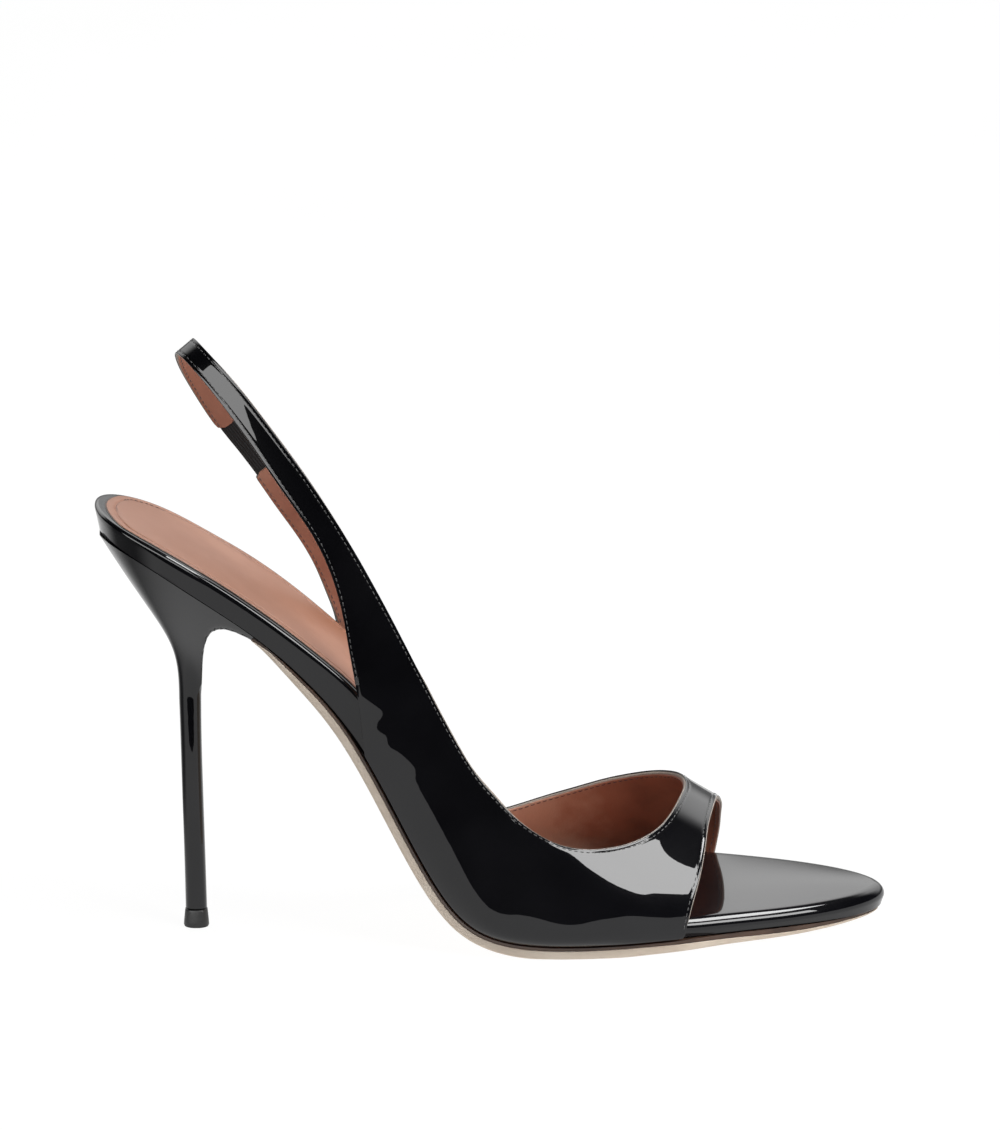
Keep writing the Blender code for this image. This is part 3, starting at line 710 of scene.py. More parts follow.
def read_strip(places):
    """Edges, bulge and their slopes at places along the upper's strip."""
    top = spline(places, KNOTS, rib_ends(RIBS, "top"))
    bulge = spline(places, KNOTS, RIBS["bulge"])
    edge = rib_ends(RIBS, "edge")
    low = np.zeros_like(top)
    cut = np.zeros_like(bulge)
    for first, last in zip(CORNERS[:-1], CORNERS[1:]):
        inside = (places >= KNOTS[first]) & (places <= KNOTS[last])
        cut[inside] = spline(places[inside], KNOTS[first:last + 1], CUTS[first:last + 1])
    for first, last in zip(FOOT_CORNERS[:-1], FOOT_CORNERS[1:]):
        inside = (places >= KNOTS[first]) & (places <= KNOTS[last])
        low[inside] = spline(places[inside], KNOTS[first:last + 1], edge[first:last + 1])
    swell = bulge[:, None] * unit(np.cross(np.gradient(top, places, axis=0), top - low))
    lines = {"low": low, "top": top, "swell": swell}
    strip = {name: line[:, None] for name, line in lines.items()}
    for name, line in lines.items():
        strip[name + "_run"] = np.gradient(line, places, axis=0)[:, None]
    side = slice(CORNERS[1], CORNERS[2] + 1)
    sole_x = np.interp(places, KNOTS[side], LATERAL_SIDE["sole_x"][::-1])
    strip["reach"] = np.exp(spline(sole_x, FULLNESS["sole_x"], np.log(FULLNESS["reach"])))[:, None, None]
    strip["power"] = spline(sole_x, FULLNESS["sole_x"], FULLNESS["power"])[:, None, None]
    strip["cut"] = np.clip(cut, 0.0, 1.0)[:, None]
    strip["places"] = places[:, None]
    lowest = on_strip(strip, np.zeros((len(places), 1)))[0]
    strip["width"] = np.linalg.norm(top - lowest[:, 0], axis=1)[:, None]
    return strip


def fullness(share, reach, power):
    """Share of the bulge across the strip and its slope, with the fullest point at one."""
    rest = np.clip(1 - share, 0.0, 1.0)
    least = np.maximum(rest, FULLNESS_EDGE)
    fade = np.exp(-share / reach)
    return rest ** power * (1 - fade), least ** (power - 1) * (rest * fade / reach - power * (1 - fade))


def on_strip(strip, shares):
    """Points of the outer face and outward directions. Shares has a row for each place."""
    share = (strip["cut"] + shares * (1 - strip["cut"]))[..., None]
    fullest = fullness(np.linspace(0.0, 1.0, FULLNESS_STEPS)[:, None], strip["reach"], strip["power"])[0]
    full, fuller = fullness(share, strip["reach"], strip["power"]) / fullest.max(axis=1, keepdims=True)
    points = strip["low"] * (1 - share) + strip["top"] * share + strip["swell"] * full
    run = strip["low_run"] * (1 - share) + strip["top_run"] * share + strip["swell_run"] * full
    rise = strip["top"] - strip["low"] + strip["swell"] * fuller
    return points, unit(np.cross(run, rise))


def strip_places(start, end):
    """Places along the strip, about evenly spaced."""
    return np.linspace(start, end, int(round((end - start) / ROW_SPACING)) + 1)


def end_inset(places):
    """How far the strap's rounded ends draw its edges in."""
    near = np.minimum(places - STRAP_START, STRAP_END - places)
    short = np.clip(STRAP_END_ROUND - near, 0.0, STRAP_END_ROUND)
    return STRAP_END_ROUND - np.sqrt(STRAP_END_ROUND ** 2 - short ** 2)


def section(strip, layer, low_edge, top_edge, columns, back_columns):
    """Distance from the lower edge and depth of the points round a layer's section, and the face's count."""
    shape = np.ones_like(strip["width"])
    radius = layer["edge_round"]
    turns = np.linspace(0.0, np.pi / 2, CORNER_STEPS + 1)
    face = np.linspace(0.0, 1.0, columns + 1)
    back = np.linspace(1.0, 0.0, back_columns + 1)
    low_in = low_edge + radius
    top_in = top_edge - radius
    outside = layer["outside"]
    inside = layer["inside"]
    rise = [
        low_in + face * (top_in - low_in),
        top_in + radius * np.sin(turns)[1:],
        top_in + radius * np.cos(turns)[:-1],
        low_in + back * (top_in - low_in),
        low_in - radius * np.sin(turns)[1:],
        low_in - radius * np.cos(turns)[:-1],
    ]
    deep = [
        outside + 0 * face,
        outside + radius * (1 - np.cos(turns))[1:],
        inside - radius * (1 - np.sin(turns))[:-1],
        inside + 0 * back,
        inside - radius * (1 - np.cos(turns))[1:],
        outside + radius * (1 - np.sin(turns))[:-1],
    ]
    return np.concatenate(rise, axis=1), np.concatenate(deep)[None, :] * shape, columns + 1


def sewn_low(places):
    """Share of the sewn row along the lower edge: on the straps and round the toe opening."""
    strap = (places < LATERAL_TACK) | (places > MEDIAL_TACK)
    toe = (places > CORNER_PLACES[2]) & (places < CORNER_PLACES[3])
    return (strap | toe).astype(float)


def channel(distance, inset):
    """Cross-section of the channel that a row of stitches pulls into the leather."""
    return -CHANNEL_DEPTH * np.exp(-((distance - inset) / CHANNEL_HALF) ** 2)


def relief(strip, points, rise):
    """Height of the outer face over its plain form: sewn channels, folded back edge and soft creases."""
    places = strip["places"]
    height = channel(strip["width"] - rise, STITCH_INSET)
    height = height + channel(rise, STITCH_INSET) * sewn_low(places)
    folded = (places > LATERAL_TACK) & (places < CORNER_PLACES[1])
    folded |= (places > CORNER_PLACES[4]) & (places < MEDIAL_TACK)
    height = height + channel(rise, FOLD_INSET) * folded
    for crease in CREASES:
        turn = np.radians(crease["turn"])
        ahead = points[..., 0] - crease["x"]
        above = points[..., 2] - crease["z"]
        along = (ahead * np.cos(turn) + above * np.sin(turn)) / crease["half_length"]
        across = (above * np.cos(turn) - ahead * np.sin(turn)) / crease["half_width"]
        fade = ease(crease["side"] * points[..., 1], CREASE_FADE)
        height = height + crease["height"] * fade * np.exp(-along ** 2 - across ** 2)
    return height


def stretch(places, start, end, run):
    """Share that rises after the start of a stretch and falls before its end."""
    return ease(places, (start, start + run)) * (1 - ease(places, (end - run, end)))


def upper_layer(layer, low_edge=None, top_edge=None, columns=FACE_COLUMNS, relieved=False):
    """One layer of the upper along the whole strip. Edges are counted from the lower edge of the strip."""
    places = strip_places(STRAP_START, STRAP_END)
    strip = read_strip(places)
    drawn_in = end_inset(places)[:, None] + layer["inset"]
    shown = 0.0 if relieved else 1.0
    throat = stretch(places, CORNER_PLACES[1], RIDGE_PLACE + SHOW_RUN, SHOW_RUN)
    throat = shown * THROAT_SHOW * throat[:, None]
    toe = shown * TOE_SHOW * stretch(places, CORNER_PLACES[2], CORNER_PLACES[3], TOE_SHOW_RUN)[:, None]
    low_edge = drawn_in - toe if low_edge is None else strip["width"] + low_edge - drawn_in
    top_edge = strip["width"] - drawn_in + throat if top_edge is None else top_edge + drawn_in
    rise, deep, faced = section(strip, layer, low_edge, top_edge, columns, min(columns, BACK_COLUMNS))
    points, out = on_strip(strip, rise / strip["width"])
    if relieved:
        deep[:, :faced] -= relief(strip, points[:, :faced], rise[:, :faced])
    return tube(points - deep[..., None] * out)


def upper_cut_edges():
    """Pale raw edge of the leather between film and lining, along both edges of the strip."""
    throat = upper_layer(CORE_LAYER, low_edge=-CORE_BAND, columns=CORE_COLUMNS)
    lower = upper_layer(CORE_LAYER, top_edge=CORE_BAND, columns=CORE_COLUMNS)
    return join([throat, lower])


def elastic():
    """Ribbed elastic gore let in between film and lining at the two ends of the inner strap."""
    before = strip_places(STRAP_END - ELASTIC_RUN_IN, KNOTS[-1])
    after = strip_places(0.0, STRAP_START + ELASTIC_RUN_IN)
    rings = []
    for places in (before, after):
        strip = read_strip(places)
        inset = ELASTIC_LAYER["inset"]
        low_edge = inset + 0 * strip["width"]
        top_edge = strip["width"] - inset
        rise, deep, _ = section(strip, ELASTIC_LAYER, low_edge, top_edge, FACE_COLUMNS, FACE_COLUMNS)
        points, out = on_strip(strip, rise / strip["width"])
        turn = 2 * np.pi * ELASTIC_RIBS * (rise - low_edge) / (top_edge - low_edge)
        middle = (ELASTIC_LAYER["outside"] + ELASTIC_LAYER["inside"]) / 2
        ribbed = ELASTIC_RIB_HEIGHT * (1 - np.cos(turn)) / 2
        deep = deep + np.sign(middle - deep) * (ELASTIC_RIB_HEIGHT - ribbed)
        rings.append(points - deep[..., None] * out)
    return tube(np.concatenate([rings[0], rings[1][1:]]))


def stitches(path, out, pitch=STITCH_PITCH, length=STITCH_LENGTH, radius=STITCH_RADIUS):
    """Row of stitches on a path, bowed so that both ends of each dive into the leather."""
    walked = np.concatenate([[0.0], np.cumsum(np.linalg.norm(np.diff(path, axis=0), axis=1))])
    count = max(int(walked[-1] / pitch), 1)
    middles = (np.arange(count) + 0.5) * walked[-1] / count
    offsets = np.linspace(-1.0, 1.0, STITCH_RINGS)
    turns = np.linspace(0.0, 2 * np.pi, STITCH_SIDES, endpoint=False)
    shapes = []
    for middle in middles:
        at = middle + offsets * length / 2
        line = np.column_stack([np.interp(at, walked, path[:, i]) for i in range(3)])
        up = unit(np.column_stack([np.interp(at, walked, out[:, i]) for i in range(3)]))
        run = unit(np.gradient(line, axis=0))
        side = np.cross(run, up)
        bow = radius * (1 - offsets ** 2) - STITCH_SINK
        thick = radius * np.sqrt(1 - (STITCH_TAPER * offsets) ** STITCH_TAPER_POWER)
        centre = line + bow[:, None] * up
        wheel = np.cos(turns)[None, :, None] * side[:, None] + np.sin(turns)[None, :, None] * up[:, None]
        shapes.append(tube(centre[:, None] + thick[:, None, None] * wheel))
    return shapes


def sewn_path(start, end, inset, from_top, depth=0.0):
    """Path of a row of stitches on a layer of the upper, and the direction that it faces."""
    places = strip_places(start, end)
    strip = read_strip(places)
    rise = strip["width"] - inset if from_top else inset + 0 * strip["width"]
    points, out = on_strip(strip, rise / strip["width"])
    points, out = points[:, 0], out[:, 0]
    return points - depth * out, out if depth < UPPER_WALL else -out


def upper_stitches(depth):
    """Rows of stitches of the upper on one face of its wall, along its upper or lower edge."""
    margin = STITCH_INSET
    shapes = []
    for start, end, from_top in (
        (STRAP_START + margin, STRAP_END - margin, True),
        (STRAP_START + margin, LATERAL_TACK, False),
        (MEDIAL_TACK, STRAP_END - margin, False),
        (CORNER_PLACES[2] + margin, CORNER_PLACES[3] - margin, False),
    ):
        shapes += stitches(*sewn_path(start, end, margin, from_top, depth))
    return join(shapes)


def bar_tacks():
    """Close bars of thread that end the strap's rows at the two back corners of the panels."""
    shapes = []
    reach = TACK_LENGTH / 2
    for place in (LATERAL_TACK, MEDIAL_TACK):
        middle = (TACK_STITCHES - 1) / 2
        for i in range(TACK_STITCHES):
            at = np.full(TACK_POINTS, place + (i - middle) * TACK_SPACING)
            strip = read_strip(at + np.linspace(-0.5, 0.5, TACK_POINTS) * ROW_SPACING)
            rise = np.linspace(TACK_INSET - reach, TACK_INSET + reach, TACK_POINTS)
            rise = rise[:, None] + 0 * strip["width"]
            points, out = on_strip(strip, rise / strip["width"])
            shapes += stitches(points[:, 0], out[:, 0], pitch=TACK_LENGTH, length=TACK_LENGTH)
    return join(shapes)


def sock_stitches():
    """Short row of fine brown dashes in the pressed line of the sock, on the inner side of the heel."""
    stations, half = sock_outline()
    lift = sole_size("rim", stations) + SOCK_LIFT + SOCK_THICKNESS - SOCK_STITCH_SINK
    inset = np.full((len(stations), 1), SOCK_LINE)
    out_x, out_z = sole_normal(stations)
    out = np.column_stack([out_x, 0 * out_x, out_z])
    plan = inset_side(stations, half, 1, inset)[:, 0]
    path = sole_point(plan[:, 0], plan[:, 1], lift)
    sewn = (path[:, 0] > SOCK_SEWN[0]) & (path[:, 0] < SOCK_SEWN[1])
    return join(stitches(path[sewn], out[sewn], length=SOCK_STITCH_LENGTH, radius=SOCK_STITCH_RADIUS))


# Place in the frame
def frame_shift():
    """From the shoe's own counting to the frame: the heel's cap stands at the same place in both."""
    low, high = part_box("heel_tip")
    foot = HEEL_SHAFT[0]
    middle = np.array((low + high) / 2) / MM
    return np.array([middle[0] - (foot["back"] + foot["front"]) / 2, middle[1], 0.0])


SHIFT = frame_shift()

# Surfaces: the cloud that shares out the colours, the range of roughness by the cloud or by the first grain,
# the relief of the cloud itself or of grains that lie on each other, each with a depth in millimetres and a
# strength, and the fixed values of sockets
SURFACES = {
    # Black leather under a clear mirror film
    "patent_leather": {
        "cloud": {"size": 18.0, "Detail": 3.0},
        "colours": [(0.35, (0.0030, 0.0030, 0.0042)), (0.65, (0.0050, 0.0050, 0.0066))],
        "rough": (0.30, 0.42),
        "grains": [{"size": 0.9, "Detail": 2.0}],
        "relief": [(0.05, 0.25)],
        "fixed": {"Specular IOR Level": 0.02, "Coat Weight": 1.0, "Coat Roughness": 0.02, "Coat IOR": 1.5},
    },
    # Terracotta lining with a fine pore grain
    "lining_leather": {
        "cloud": {"size": 14.0, "Detail": 5.0},
        "colours": [
            (0.3, (0.22, 0.080, 0.046)),
            (0.55, (0.35, 0.130, 0.077)),
            (0.80, (0.42, 0.168, 0.102)),
            # Palest, greyer stop: a painted highlight, reached only where painted light lifts the lining
            (1.00, (0.56, 0.290, 0.200)),
        ],
        "rough": (0.42, 0.55),
        "grains": [{"size": 1.6, "Detail": 4.0}, {"size": 0.55, "kind": "Voronoi", "Randomness": 1.0}],
        "relief": [(0.08, 0.35), (0.06, 0.3)],
    },
    # Pinkish tan insole leather with a soft satin finish
    "sock_leather": {
        "cloud": {"size": 26.0, "Detail": 5.0, "Roughness": 0.6},
        "colours": [
            (0.3, (0.43, 0.188, 0.110)),
            (0.5, (0.46, 0.215, 0.136)),
            (0.7, (0.51, 0.252, 0.166)),
        ],
        "rough": (0.36, 0.48),
        "grains": [{"size": 2.2, "Detail": 4.0}, {"size": 0.6, "kind": "Voronoi", "Randomness": 1.0}],
        "relief": [(0.07, 0.3), (0.05, 0.25)],
        "fixed": {"Specular IOR Level": 0.35},
    },
    # Pale fibrous raw edge
    "cut_leather": {
        "cloud": {"size": 0.5, "Detail": 6.0, "Roughness": 0.7},
        "colours": [(0.3, (0.30, 0.255, 0.215)), (0.7, (0.50, 0.440, 0.380))],
        "rough": (0.55, 0.8),
        "relief": [(0.1, 0.5)],
    },
    # Cream sole leather with a fine lengthwise grain
    "outsole_leather": {
        "cloud": {"size": 5.0, "drawn_out": 4.0, "Detail": 6.0, "Roughness": 0.6},
        "colours": [(0.3, (0.58, 0.47, 0.37)), (0.7, (0.72, 0.62, 0.51))],
        "grain_rough": (0.5, 0.7),
        "grains": [{"size": 0.4, "Detail": 4.0}],
        "relief": [(0.06, 0.4)],
    },
    # Dark brown stained edge of the sole; the same leather, as a plate round the sock, is painted shade of
    # the gap between sock and rim
    "stained_leather_and_painted_shade": {
        "cloud": {"size": 3.0, "drawn_out": 5.0, "Detail": 5.0},
        "colours": [(0.3, (0.045, 0.024, 0.015)), (0.7, (0.110, 0.060, 0.038))],
        "grain_rough": (0.35, 0.5),
        "grains": [{"size": 0.4, "Detail": 4.0}],
        "relief": [(0.05, 0.35)],
    },
    # Matt black elastic with a close weave
    "elastic_tape": {
        "cloud": {"size": 0.3, "Detail": 3.0},
        "colours": [(0.3, (0.004, 0.004, 0.004)), (0.7, (0.014, 0.014, 0.015))],
        "rough": (0.6, 0.8),
        "relief": [(0.1, 0.7)],
        "fixed": {"Specular IOR Level": 0.25},
    },
    # Half-matt black wearing cap with a fine moulded grain
    "tip_plastic": {
        "cloud": {"size": 0.4, "Detail": 3.0},
        "colours": [(0.3, (0.008, 0.008, 0.008)), (0.7, (0.018, 0.018, 0.018))],
        "rough": (0.38, 0.55),
        "relief": [(0.04, 0.4)],
    },
}

# Twisted sewing threads: dark and light colour of the twist, and the roughness
THREADS = {
    "black_thread": ((0.02, 0.02, 0.02), (0.10, 0.10, 0.10), 0.4),
    "brown_thread": ((0.05, 0.02, 0.012), (0.15, 0.06, 0.04), 0.6),
    "dark_thread": ((0.06, 0.025, 0.015), (0.16, 0.07, 0.045), 0.6),
}
for thread_name, (thread_dark, thread_light, thread_rough) in THREADS.items():
    SURFACES[thread_name] = {
        "cloud": {"size": 0.35, "Detail": 3.0},
        "colours": [(0.3, thread_dark), (0.7, thread_light)],
        "relief": [(0.08, 0.6)],
        "fixed": {"Roughness": thread_rough, "Sheen Weight": 0.4},
    }

# The output that each texture is read at, the film's faint orange peel, and where along the shoe painted
# light lifts the lining's colour and painted shade lowers it
TEXTURE_OUTPUT = {"Noise": "Fac", "Voronoi": "Distance"}
PEEL = {"size": 4.0, "Detail": 1.0}
PEEL_DEPTH = 0.03
PEEL_STRENGTH = 0.25
LINING_LIGHTENS = (72.0, 106.0)
LINING_DARKENS = (114.0, 148.0)
LINING_LIGHTER = 0.6
STRAP_LIGHTER = 0.4


def new_material(name):
    """Material, its node tree and its shader."""
    material = bpy.data.materials.new(name)
    material.use_nodes = True
    tree = material.node_tree
    return material, tree, tree.nodes["Principled BSDF"]


def set_values(node, values):
    """Fixed values of a node's sockets, by name."""
    for name, value in values.items():
        node.inputs[name].default_value = value


def texture(tree, size, kind="Noise", drawn_out=1.0, **settings):
    """Procedural texture in the shoe's own place, of a size in millimetres, drawn out along x."""
    place = tree.nodes.new("ShaderNodeTexCoord")
    mapping = tree.nodes.new("ShaderNodeMapping")
    mapping.inputs["Scale"].default_value = [1 / (MM * size * along) for along in (drawn_out, 1.0, 1.0)]
    node = tree.nodes.new("ShaderNodeTex" + kind)
    tree.links.new(place.outputs["Object"], mapping.inputs["Vector"])
    tree.links.new(mapping.outputs["Vector"], node.inputs["Vector"])
    set_values(node, {"Scale": 1.0, **settings})
    return node.outputs[TEXTURE_OUTPUT[kind]]


def coordinates(tree, kind):
    """X, Y and Z of the place or direction that is shaded."""
    place = tree.nodes.new("ShaderNodeTexCoord")
    split = tree.nodes.new("ShaderNodeSeparateXYZ")
    tree.links.new(place.outputs[kind], split.inputs["Vector"])
    return [split.outputs[axis] for axis in "XYZ"]


def math_node(tree, operation, first, second=0.0):
    """Result of a sum on two values, each a socket or a number."""
    node = tree.nodes.new("ShaderNodeMath")
    node.operation = operation
    for socket, value in zip(node.inputs, (first, second)):
        if isinstance(value, float):
            socket.default_value = value
        else:
            tree.links.new(value, socket)
    return node.outputs["Value"]


def fading(tree, value, span, before, after, way="SMOOTHSTEP"):
    """Change from one strength to another over a span of a value."""
    node = tree.nodes.new("ShaderNodeMapRange")
    node.interpolation_type = way
    set_values(node, {"From Min": span[0], "From Max": span[1], "To Min": before, "To Max": after})
    tree.links.new(value, node.inputs["Value"])
    return node.outputs["Result"]


def colours(tree, value, target, stops):
    """Ramp of colours over a value, linked to a socket."""
    ramp = tree.nodes.new("ShaderNodeValToRGB")
    elements = ramp.color_ramp.elements
    while len(elements) < len(stops):
        elements.new(1.0)
    for element, (position, colour) in zip(elements, stops):
        element.position = position
        element.color = (*colour, 1.0)
    tree.links.new(value, ramp.inputs["Fac"])
    tree.links.new(ramp.outputs["Color"], target)


def bump(tree, height, depth, strength, under=None):
    """Bump of a depth in millimetres, on top of another bump if one is given."""
    node = tree.nodes.new("ShaderNodeBump")
    set_values(node, {"Distance": depth * MM, "Strength": strength})
    tree.links.new(height, node.inputs["Height"])
    if under is not None:
        tree.links.new(under, node.inputs["Normal"])
    return node.outputs["Normal"]


def lining_painted_light_and_shade(tree):
    """Painted light and shade of the lining along the shoe: lifted most in the throat, less on the strap,
    darker towards the toe.
    """
    along = coordinates(tree, "Object")[0]
    opened = fading(tree, along, (np.array(LINING_LIGHTENS) + SHIFT[0]) * MM, STRAP_LIGHTER, 1.0)
    shaded = fading(tree, along, (np.array(LINING_DARKENS) + SHIFT[0]) * MM, LINING_LIGHTER, 0.0)
    return math_node(tree, "MULTIPLY", opened, shaded)


def surface(name, painted_light_and_shade=None, peeled=False):
    """Material of one of the surfaces, with colours shifted by painted light and shade and a film's own
    relief if asked for.
    """
    look = SURFACES[name]
    material, tree, shader = new_material(name)
    cloud = texture(tree, **look["cloud"])
    shade = math_node(tree, "ADD", cloud, painted_light_and_shade(tree)) if painted_light_and_shade else cloud
    colours(tree, shade, shader.inputs["Base Color"], look["colours"])
    heights = [texture(tree, **grain) for grain in look.get("grains", [])] or [cloud]
    for key, value in (("rough", cloud), ("grain_rough", heights[0])):
        if key in look:
            roughness = fading(tree, value, (0.0, 1.0), *look[key], "LINEAR")
            tree.links.new(roughness, shader.inputs["Roughness"])
    normal = None
    for height, (depth, strength) in zip(heights, look["relief"]):
        normal = bump(tree, height, depth, strength, normal)
    tree.links.new(normal, shader.inputs["Normal"])
    if peeled:
        peel = bump(tree, texture(tree, **PEEL), PEEL_DEPTH, PEEL_STRENGTH)
        tree.links.new(peel, shader.inputs["Coat Normal"])
    set_values(shader, look.get("fixed", {}))
    return material


# Pieces
def add_piece(name, shape, material, node=None):
    """Smooth mesh piece on the shoe's one body, in place of a solid if it is named."""
    points, faces = shape
    mesh = bpy.data.meshes.new(name)
    mesh.from_pydata(((points + SHIFT) * MM).tolist(), [], faces)
    work = bmesh.new()
    work.from_mesh(mesh)
    bmesh.ops.remove_doubles(work, verts=work.verts, dist=MERGE_DISTANCE)
    bmesh.ops.dissolve_degenerate(work, edges=work.edges, dist=MERGE_DISTANCE)
    work.to_mesh(mesh)
    work.free()
    mesh.shade_smooth()
    mesh.set_sharp_from_angle(angle=np.radians(SMOOTH_ANGLE))
    mesh.materials.append(material)
    piece = bpy.data.objects.new(name, mesh)
    bpy.context.scene.collection.objects.link(piece)
    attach(piece, "root")
    if node:
        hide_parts(node)


def build_shoe():
    """Every visible piece of the shoe."""
    patent = surface("patent_leather", peeled=True)
    black_thread = surface("black_thread")
    stained = surface("stained_leather_and_painted_shade")
    add_piece("footbed_rim_patent", footbed_rim(), patent, "footbed_rim")
    add_piece("heel_patent", heel(), patent, "heel")
    add_piece("heel_tip_cap", heel_tip(), surface("tip_plastic"), "heel_tip")
    add_piece("outsole_leather", sole_leather(False), surface("outsole_leather"), "outsole")
    add_piece("outsole_stained_edge", sole_leather(True), stained)
    add_piece("sock_leather", sock(), surface("sock_leather"), "sock")
    # Dark plate in the gap between sock and rim: painted shade
    add_piece("sock_cut_edge", sock_cut_edge(), stained)
    add_piece("sock_stitches", sock_stitches(), surface("dark_thread"))
    film = upper_layer(PATENT_LAYER, relieved=True)
    add_piece("upper_patent", film, patent, "upper")
    # Lining colour shifted by painted light in the throat and painted shade towards the toe
    lining = surface("lining_leather", painted_light_and_shade=lining_painted_light_and_shade)
    add_piece("upper_lining", upper_layer(LINING_LAYER), lining)
    add_piece("upper_cut_edges", upper_cut_edges(), surface("cut_leather"))
    add_piece("upper_stitches", upper_stitches(CHANNEL_DEPTH), black_thread)
    add_piece("lining_stitches", upper_stitches(UPPER_WALL), surface("brown_thread"))
    add_piece("upper_bar_tacks", bar_tacks(), black_thread)
    add_piece("elastic_gore", elastic(), surface("elastic_tape"), "elastic")


# Stage, light and camera
FLOOR_BACK = 1200.0
FLOOR_FRONT = 205.0
FLOOR_SIDE = 900.0
FLOOR_GAP = 0.05
FLOOR_GLOW = 0.94
FLOOR_WHITE = 0.1
FLOOR_MOTTLE = 0.02
FLOOR_MOTTLE_SIZE = 120.0
FLOOR_DIM = (-235.0, -110.0)
FLOOR_DIM_TURN = 0.8
FLOOR_MIRRORED = (0.05, 0.8)
FLOOR_FAR = (40.0, 180.0)
FLOOR_FAR_LIGHT = 0.8
AMBIENT = 0.15
BACK_LIGHT = 1.3
FRONT_DARK = 0.004
HORIZON_LIGHT = 0.2
HORIZON_HEIGHT = (4.0, 18.0)
BACK_GAIN = 1.6
BACK_GAIN_HEIGHT = (16.0, 38.0)
BACK_TURN = (40.0, 66.0)
BACK_HEIGHT = (38.0, 50.0)
CAMERA_HEIGHT_ANGLE = 16.0
CAMERA_ROLL = -0.35
CAMERA_DISTANCE = 12000.0
CAMERA_TARGET = (2.9, 0.0, 96.15)
PIXELS_PER_MM = 3.837
PICTURE_HEIGHT = 1130
SENSOR = 36.0
CLIP_REACH = 4

# Softboxes: turn from the camera's side towards the toe, height angle, distance, the point that each faces,
# width, height, brightness, and whether each lights matt surfaces or shows in glossy ones
SOFTBOX = "turn rise away to_x to_y to_z width height radiance lights shows"
SOFTBOXES = table(SOFTBOX, [
    (47.0, 36.5, 1000.0, 40.0, -35.0, 20.0, 600.0, 320.0, 10.7, 0, 1),
    (-30.0, 17.0, 1000.0, -68.0, -20.0, 148.0, 1500.0, 590.0, 5.2, 0, 1),
    (75.0, 70.0, 1000.0, 60.0, -20.0, 15.0, 700.0, 300.0, 16.0, 0, 1),
    (62.0, 48.0, 1200.0, 0.0, 0.0, 40.0, 1000.0, 800.0, 5.0, 1, 0),
])


def add_floor():
    """Pale self-lit floor, near white. In the gloss it is dimmer to the left and lighter far behind."""
    corners = [
        (-FLOOR_SIDE, -FLOOR_FRONT),
        (FLOOR_SIDE, -FLOOR_FRONT),
        (FLOOR_SIDE, FLOOR_BACK),
        (-FLOOR_SIDE, FLOOR_BACK),
    ]
    mesh = bpy.data.meshes.new("floor")
    mesh.from_pydata([(x * MM, y * MM, -FLOOR_GAP * MM) for x, y in corners], [], [(0, 1, 2, 3)])
    material, tree, shader = new_material("pale_floor")
    mottle = texture(tree, size=FLOOR_MOTTLE_SIZE, Detail=2.0)
    whites = [(0.3, (FLOOR_WHITE,) * 3), (0.7, (FLOOR_WHITE + FLOOR_MOTTLE,) * 3)]
    colours(tree, mottle, shader.inputs["Base Color"], whites)
    set_values(shader, {"Roughness": 0.9, "Specular IOR Level": 0.0, "Emission Color": (1.0, 1.0, 1.0, 1.0)})
    x, y, _ = coordinates(tree, "Object")
    path = tree.nodes.new("ShaderNodeLightPath")
    aside = math_node(tree, "SUBTRACT", x, math_node(tree, "MULTIPLY", y, FLOOR_DIM_TURN))
    mirrored = fading(tree, aside, np.array(FLOOR_DIM) * MM, *FLOOR_MIRRORED)
    far = fading(tree, y, np.array(FLOOR_FAR) * MM, 0.0, FLOOR_FAR_LIGHT)
    dimmer = math_node(tree, "SUBTRACT", math_node(tree, "MAXIMUM", mirrored, far), FLOOR_GLOW)
    change = math_node(tree, "MULTIPLY", dimmer, path.outputs["Is Glossy Ray"])
    tree.links.new(math_node(tree, "ADD", change, FLOOR_GLOW), shader.inputs["Emission Strength"])
    mesh.materials.append(material)
    floor = bpy.data.objects.new("floor", mesh)
    bpy.context.scene.collection.objects.link(floor)


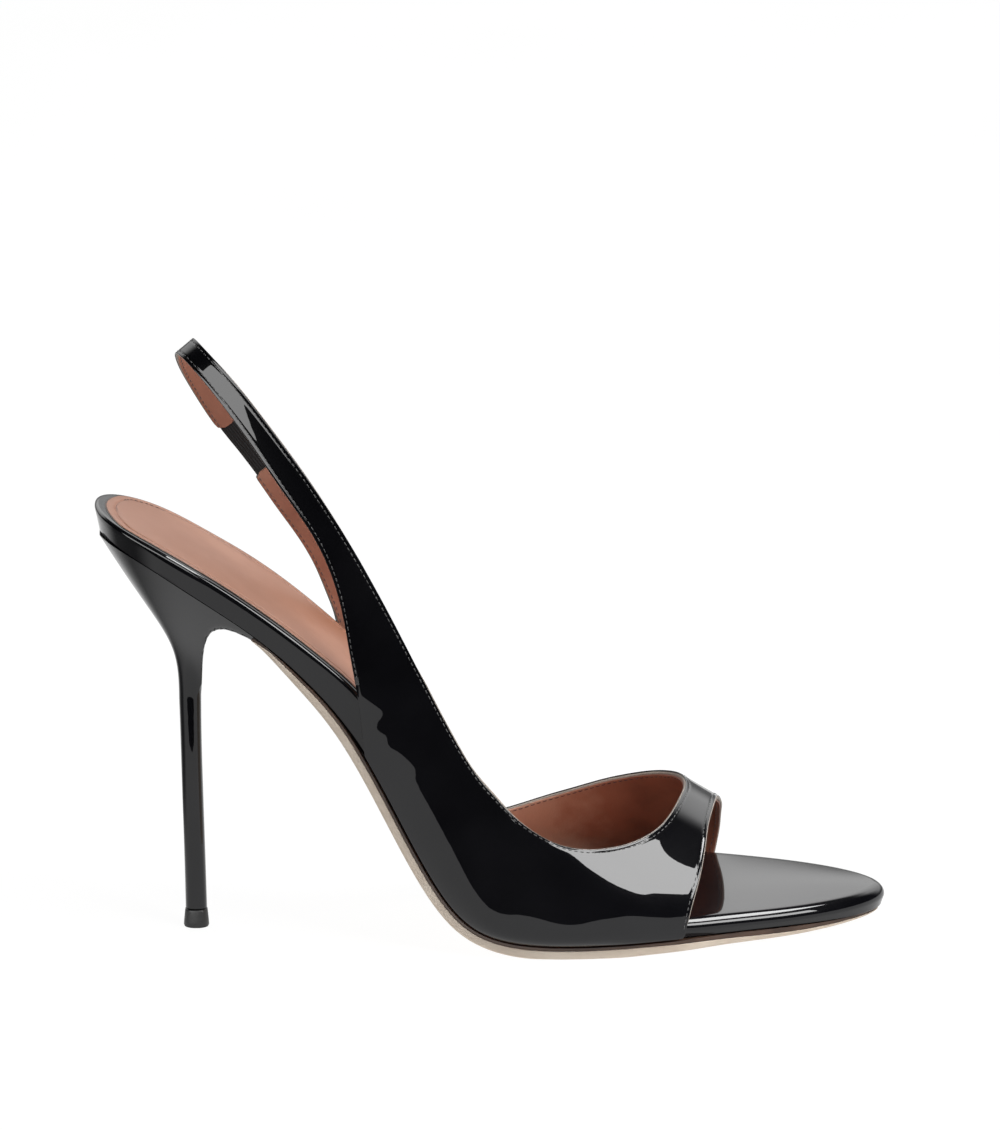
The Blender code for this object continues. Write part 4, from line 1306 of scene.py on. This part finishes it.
def add_world():
    """Studio round the shoe: a white sweep behind it, darkness in front of it."""
    world = bpy.data.worlds.new("studio")
    bpy.context.scene.world = world
    world.use_nodes = True
    tree = world.node_tree
    background = tree.nodes["Background"]
    x, y, z = coordinates(tree, "Generated")
    aside = math_node(tree, "ABSOLUTE", math_node(tree, "ARCTAN2", x, y))
    sweep = fading(tree, aside, np.radians(BACK_TURN), 1.0, 0.0)
    for heights, before, after in (
        (HORIZON_HEIGHT, HORIZON_LIGHT, BACK_LIGHT),
        (BACK_GAIN_HEIGHT, 1.0, BACK_GAIN),
        (BACK_HEIGHT, 1.0, 0.0),
    ):
        share = fading(tree, z, np.sin(np.radians(heights)), before, after)
        sweep = math_node(tree, "MULTIPLY", sweep, share)
    studio = math_node(tree, "ADD", sweep, FRONT_DARK)
    path = tree.nodes.new("ShaderNodeLightPath")
    soft = math_node(tree, "MULTIPLY", path.outputs["Is Diffuse Ray"], AMBIENT)
    lit = math_node(tree, "MAXIMUM", studio, soft)
    shown = math_node(tree, "MAXIMUM", lit, path.outputs["Is Camera Ray"])
    tree.links.new(shown, background.inputs["Strength"])
    background.inputs["Color"].default_value = (1.0, 1.0, 1.0, 1.0)


def aimed(place, target):
    """Matrix of something at a place that looks at a target."""
    place = Vector(place) * MM
    towards = Vector(target) * MM - place
    return Matrix.Translation(place) @ towards.to_track_quat("-Z", "Y").to_matrix().to_4x4()


def add_softboxes():
    """Rectangular softboxes, bright enough to show in the patent leather."""
    for number, box in enumerate(SOFTBOXES):
        light = bpy.data.lights.new(f"softbox_{number}", "AREA")
        light.shape = "RECTANGLE"
        light.size = box["width"] * MM
        light.size_y = box["height"] * MM
        light.energy = box["radiance"] * np.pi * light.size * light.size_y
        lamp = bpy.data.objects.new(f"softbox_{number}", light)
        bpy.context.scene.collection.objects.link(lamp)
        lamp.visible_diffuse = bool(box["lights"])
        lamp.visible_glossy = bool(box["shows"])
        turn, rise = np.radians([box["turn"], box["rise"]])
        away = np.array([np.sin(turn) * np.cos(rise), -np.cos(turn) * np.cos(rise), np.sin(rise)])
        target = np.array([box["to_x"], box["to_y"], box["to_z"]])
        lamp.matrix_world = aimed(target + box["away"] * away, target)


def add_camera():
    """Camera at the photograph's angle: square to the outer side, looking down on it a little."""
    data = bpy.data.cameras.new("camera")
    camera = bpy.data.objects.new("camera", data)
    bpy.context.scene.collection.objects.link(camera)
    height = np.radians(CAMERA_HEIGHT_ANGLE)
    away = np.array([0.0, -np.cos(height), np.sin(height)])
    place = np.array(CAMERA_TARGET) + CAMERA_DISTANCE * away
    roll = Matrix.Rotation(np.radians(CAMERA_ROLL), 4, "Z")
    camera.matrix_world = aimed(place, CAMERA_TARGET) @ roll
    data.sensor_width = SENSOR
    data.lens = PIXELS_PER_MM * SENSOR * CAMERA_DISTANCE / PICTURE_HEIGHT
    data.clip_end = CLIP_REACH * CAMERA_DISTANCE * MM
    bpy.context.scene.camera = camera


build_shoe()
add_floor()
add_world()
add_softboxes()
add_camera()
bpy.context.scene.view_settings.view_transform = "Standard"
